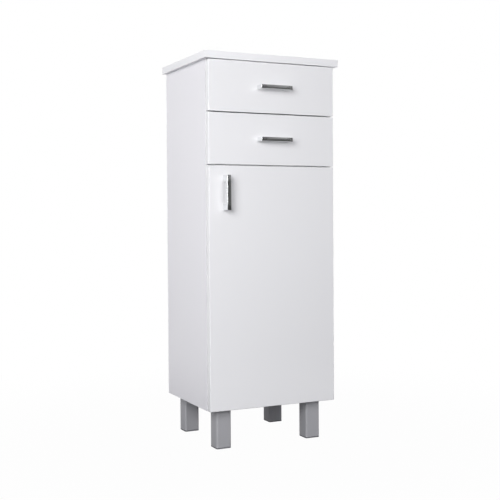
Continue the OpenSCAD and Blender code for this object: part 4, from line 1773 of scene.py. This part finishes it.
@dataclass
class Studio:
    """A white sweep, softboxes all round, the key at the front left, and the photo's viewpoint.

    Attributes:
        camera_place: The camera's place, in metres.
        yaw: Turn of its view from +Y towards +X, in degrees.
        pitch: Its tilt above the horizon, in degrees.
        roll: Its turn about the view, in degrees.
        lens: Focal length, in millimetres.
        sensor: Width of the camera's sensor, in millimetres.
        shift: Vertical shift, as a share of the picture's width.
        floor_half: Half of the floor's side, in metres.
        floor_depth: Its thickness, in metres.
        floor_white: Share of plain white in what the eye sees of the floor near the object, so that
            the object's shadow stays.
        floor_mirror: The same share for what metal mirrors of the floor near the object.
        fade: Distances in metres between which both shares rise to plain white.
        floor_colour: Colour of the floor's paper, sRGB hex.
        ambient: Level of the light from all round.
        ambient_colour: Its colour, sRGB hex.
        front_floor: Level of the floor that metal mirrors from in front.
        front_span: Places on Y, in metres, between which the mirrored floor rises to white.
        patch_scale: How many dark and bright patches of the dim room that metal mirrors fit in a
            radian.
        patch_shape: How much narrower they are on X, Y and Z.
        patch_start: Where their pattern starts on X, Y and Z.
        patch_span: The noise's values at the dark and at the bright patches.
        patch_levels: Levels of the dark and the bright patches.
        rise_span: Z of the directions low and high in front of the object.
        rise_levels: Levels of the room there.
        side_span: X of the directions straight in front of the object and at its right.
        side_levels: Levels of the room there.
        turn_span: Y of the directions between which the room rises to white.
        lamps: The softboxes.
    """

    camera_place: Vector = field(default_factory=lambda: Vector((-1.0433, -2.1818, 0.5729)))
    yaw: float = 25.49
    pitch: float = -1.08
    roll: float = -0.36
    lens: float = 66.25
    sensor: float = 36.0
    shift: float = -0.03
    floor_half: float = 9.0
    floor_depth: float = 0.02
    floor_white: float = 0.98
    floor_mirror: float = 0.15
    fade: tuple[float, float] = (0.35, 1.3)
    floor_colour: str = "#6c6c6e"
    ambient: float = 0.243
    ambient_colour: str = "#f6f6ff"
    front_floor: float = 0.06
    front_span: tuple[float, float] = (-1.6, -0.2)
    patch_scale: float = 34.0
    patch_shape: tuple[float, float, float] = (1.0, 1.0, 0.3)
    patch_start: tuple[float, float, float] = (0.29, 0.0, 0.0)
    patch_span: tuple[float, float] = (0.43, 0.57)
    patch_levels: tuple[float, float] = (0.3, 1.9)
    rise_span: tuple[float, float] = (-0.3, 0.5)
    rise_levels: tuple[float, float] = (0.0, 0.36)
    side_span: tuple[float, float] = (0.2, 0.8)
    side_levels: tuple[float, float] = (0.5, 1.5)
    turn_span: tuple[float, float] = (-0.75, 0.1)
    lamps: Sequence[Softbox] = field(
        default_factory=lambda: [
            Softbox(
                "key", Vector((-1.5, -1.7, 1.13)), side=1.15, power=37.9, colour="#fefefe",
                mirrored=True,
            ),
            Softbox("fill", Vector((0.3, -2.9, 1.0)), side=1.15, power=20.0),
            Softbox("side", Vector((-1.5, 0.3, 1.05)), side=0.8, power=5.7, aim=0.8),
            Softbox("right", Vector((2.3, 0.5, 1.2)), side=1.2, power=34.0),
            Softbox("back", Vector((0.4, 2.6, 1.1)), side=1.2, power=40.0),
            Softbox("top", Vector((0.1, 0.3, 2.6)), side=1.2, power=11.0),
        ]
    )

    def build(self) -> None:
        """Builds the floor, the sky, the lamps and the camera."""
        self.floor()
        self.sky()
        for lamp in self.lamps:
            lamp.build()
        self.camera()
        bpy.context.scene.view_settings.view_transform = "Standard"
        log.info("studio with %d lamps", len(self.lamps))

    def camera(self) -> None:
        """Sets the camera at the photo's viewpoint."""
        yaw, pitch, roll = (math.radians(a) for a in (self.yaw, self.pitch, self.roll))
        across, ahead = math.sin(yaw), math.cos(yaw)
        view = Vector((across * math.cos(pitch), ahead * math.cos(pitch), math.sin(pitch)))
        level = Vector((ahead, -across, 0))
        up = level.cross(view)
        right = level * math.cos(roll) + up * math.sin(roll)
        up = up * math.cos(roll) - level * math.sin(roll)
        turn = Matrix((right, up, -view)).transposed().to_4x4()
        data = bpy.data.cameras.new("photo_camera")
        data.sensor_width, data.lens, data.shift_y = self.sensor, self.lens, self.shift
        data.dof.use_dof = False
        made = bpy.data.objects.new("photo_camera", data)
        made.matrix_world = Matrix.Translation(self.camera_place) @ turn
        bpy.context.scene.collection.objects.link(made)
        bpy.context.scene.camera = made

    def floor(self) -> None:
        """Lays the floor: white to the eye and to mirrors, but it keeps the object's shadow."""
        shape = Shape()
        corner = Vector((self.floor_half, self.floor_half, 0))
        shape.block(-corner - Z * self.floor_depth, corner)
        made = shape.as_object("floor")
        material = bpy.data.materials.new("white_sweep")
        material.use_nodes = True
        tree = material.node_tree
        tree.nodes.clear()
        paper = add_node(tree, "ShaderNodeBsdfDiffuse", {"Color": linear(self.floor_colour)})
        glossy = add_node(tree, "ShaderNodeLightPath").outputs["Is Glossy Ray"]
        place = add_node(tree, "ShaderNodeTexCoord").outputs["Object"]
        away = add_node(
            tree, "ShaderNodeVectorMath", links={0: place}, operation="LENGTH"
        ).outputs["Value"]
        depth = add_node(tree, "ShaderNodeSeparateXYZ", links={0: place})
        front = add_node(
            tree, "ShaderNodeMapRange",
            {
                "From Min": self.front_span[0], "From Max": self.front_span[1],
                "To Min": self.front_floor, "To Max": 1.0,
            },
            {"Value": depth.outputs["Y"]},
            interpolation_type="SMOOTHSTEP",
        )
        level = add_node(
            tree, "ShaderNodeMix", {NUMBER_A: 1.0},
            {FACTOR: glossy, NUMBER_B: front.outputs["Result"]},
        )
        white = add_node(tree, "ShaderNodeEmission", links={"Strength": level.outputs[0]})
        shadowed = add_node(
            tree, "ShaderNodeMix",
            {NUMBER_A: self.floor_white, NUMBER_B: self.floor_mirror}, {FACTOR: glossy},
        )
        spread = add_node(
            tree, "ShaderNodeMapRange",
            {"From Min": self.fade[0], "From Max": self.fade[1], "To Max": 1.0},
            {"Value": away, "To Min": shadowed.outputs[0]},
            interpolation_type="SMOOTHSTEP",
        )
        share = add_node(
            tree, "ShaderNodeMath", links={0: self.seen(tree), 1: spread.outputs["Result"]},
            operation="MULTIPLY",
        )
        both = add_node(
            tree, "ShaderNodeMixShader",
            links={0: share.outputs[0], 1: paper.outputs[0], 2: white.outputs[0]},
        )
        add_node(tree, "ShaderNodeOutputMaterial", links={"Surface": both.outputs[0]})
        made.data.materials.append(material)

    def room(self, tree: bpy.types.NodeTree, way: bpy.types.NodeSocket) -> bpy.types.NodeSocket:
        """Adds what mirrors see: white behind the object, and a patchy dim room in front.

        Args:
            tree: The world's node tree.
            way: Socket with the direction of a ray.

        Returns:
            The brightness's socket.
        """
        drawn = add_node(
            tree, "ShaderNodeMapping",
            {"Location": self.patch_start, "Scale": self.patch_shape}, {"Vector": way},
        )
        patches = add_node(
            tree, "ShaderNodeTexNoise", {"Scale": self.patch_scale, "Detail": 1.0},
            {"Vector": drawn.outputs["Vector"]},
        )
        part = add_node(tree, "ShaderNodeSeparateXYZ", links={0: way})
        factors = []
        for value, (start, end), (low, high) in (
            (patches.outputs["Fac"], self.patch_span, self.patch_levels),
            (part.outputs["Z"], self.rise_span, self.rise_levels),
            (part.outputs["X"], self.side_span, self.side_levels),
        ):
            factor = add_node(
                tree, "ShaderNodeMapRange",
                {"From Min": start, "From Max": end, "To Min": low, "To Max": high},
                {"Value": value},
            )
            factors.append(factor.outputs["Result"])
        level, *others = factors
        for factor in others:
            level = add_node(
                tree, "ShaderNodeMath", links={0: level, 1: factor}, operation="MULTIPLY"
            ).outputs[0]
        level = add_node(
            tree, "ShaderNodeMapRange",
            {"From Min": self.turn_span[0], "From Max": self.turn_span[1], "To Max": 1.0},
            {"Value": part.outputs["Y"], "To Min": level},
            interpolation_type="SMOOTHSTEP",
        )
        return level.outputs["Result"]

    def seen(self, tree: bpy.types.NodeTree) -> bpy.types.NodeSocket:
        """Adds what is one for rays from the eye, a mirror or a glass, and zero otherwise.

        Args:
            tree: The material's node tree.

        Returns:
            Its socket.
        """
        path = add_node(tree, "ShaderNodeLightPath")
        glossy = add_node(
            tree, "ShaderNodeMath",
            links={0: path.outputs["Is Camera Ray"], 1: path.outputs["Is Glossy Ray"]},
            operation="MAXIMUM",
        )
        both = add_node(
            tree, "ShaderNodeMath",
            links={0: glossy.outputs[0], 1: path.outputs["Is Transmission Ray"]},
            operation="MAXIMUM",
        )
        return both.outputs[0]

    def sky(self) -> None:
        """Fills the space round the floor: white to the eye, dim from in front to mirrors."""
        world = bpy.data.worlds.new("studio")
        bpy.context.scene.world = world
        world.use_nodes = True
        tree = world.node_tree
        tree.nodes.clear()
        path = add_node(tree, "ShaderNodeLightPath")
        way = add_node(tree, "ShaderNodeTexCoord")
        plain = linear(WHITE)
        white = add_node(tree, "ShaderNodeBackground", {"Color": plain, "Strength": 1.0})
        mirrored = add_node(
            tree, "ShaderNodeBackground", {"Color": plain},
            {"Strength": self.room(tree, way.outputs["Generated"])},
        )
        around = add_node(
            tree, "ShaderNodeBackground",
            {"Color": linear(self.ambient_colour), "Strength": self.ambient},
        )
        gloss = add_node(
            tree, "ShaderNodeMixShader",
            links={0: path.outputs["Is Glossy Ray"], 1: around.outputs[0], 2: mirrored.outputs[0]},
        )
        eye = add_node(
            tree, "ShaderNodeMath",
            links={0: path.outputs["Is Camera Ray"], 1: path.outputs["Is Transmission Ray"]},
            operation="MAXIMUM",
        )
        both = add_node(
            tree, "ShaderNodeMixShader",
            links={0: eye.outputs[0], 1: gloss.outputs[0], 2: white.outputs[0]},
        )
        add_node(tree, "ShaderNodeOutputWorld", links={"Surface": both.outputs[0]})


# ------------------------------------------------------------------ the whole


class Assembly(Protocol):
    """What main builds: something that models and dresses its own pieces."""

    def build(self) -> bpy.types.Object | None:
        """Models and dresses its pieces."""


def cabinet() -> list[Assembly]:
    """Lists what the cabinet itself is built of.

    Returns:
        Its sub-assemblies.
    """
    boards = [
        EasedCopy(node, "banded", MELAMINE, ease=0.3, shortest=2.5, banded=-Y)
        for node in LEVEL_BOARDS
    ]
    legs = [kind(corner) for corner in Corner for kind in (Leg, LevellingFoot)]
    return [
        Worktop(),
        SidePanel("side_panel_left", "left_side_board"),
        SidePanel("side_panel_right", "right_side_board"),
        Shelf(),
        *boards,
        EasedCopy("back_panel", "sheet", HARDBOARD, ease=0.3, shortest=2.5),
        EasedCopy("cabinet_rails", "rolled", POWDER, ease=0.3, shortest=0.9),
        EasedCopy("shelf_pins", "rimmed", ZINC, ease=0.25),
        EasedCopy("cabinet_roller_axles", "riveted", ZINC, ease=0.15),
        Cams(),
        Screws("panel_screws"),
        Screws("leg_screws"),
        Screws("worktop_screws"),
        *legs,
    ]


def door() -> list[Assembly]:
    """Lists what the door and its hinges are built of.

    Returns:
        Their sub-assemblies.
    """
    return [
        Door("door_panel", "door_front"),
        BarHandle("door_handle", "door_bar_handle", Lie.UPRIGHT),
        Screws("door_handle_screws"),
        Hinges(),
        Screws("hinge_arm_screws"),
        Screws("hinge_cup_screws"),
        Buffers(),
    ]


def drawer(level: Level) -> list[Assembly]:
    """Lists what one drawer and its runners are built of.

    Args:
        level: Which drawer it is.

    Returns:
        Its sub-assemblies.
    """
    body = f"{level.value}_drawer"
    boards = [
        EasedCopy(f"{body}_{board}", "banded", MELAMINE, ease=0.5, shortest=2.5, banded=Z)
        for board in BOX_BOARDS
    ]
    return [
        Front(f"{body}_front", f"{body}_foil_front"),
        BarHandle(f"{body}_handle", f"{body}_bar_handle", Lie.ACROSS),
        Screws(f"{body}_handle_screws"),
        *boards,
        EasedCopy(f"{body}_bottom", "sheet", MELAMINE, ease=0.2, shortest=2.5),
        Screws(f"{body}_box_screws"),
        EasedCopy(f"{body}_rails", "rolled", POWDER, ease=0.3, shortest=0.9),
        RollerPair(f"{level.value}_cabinet_rollers"),
        RollerPair(f"{body}_rollers"),
    ]


def main() -> None:
    """Builds the studio and every sub-assembly, then dresses what stays from the frame."""
    logging.basicConfig(level=logging.INFO, format="%(name)s: %(message)s")
    Studio().build()
    for part in [*cabinet(), *door(), *drawer(Level.UPPER), *drawer(Level.LOWER)]:
        part.build()
    FramePieces().dress()


if __name__ == "__main__":
    main()
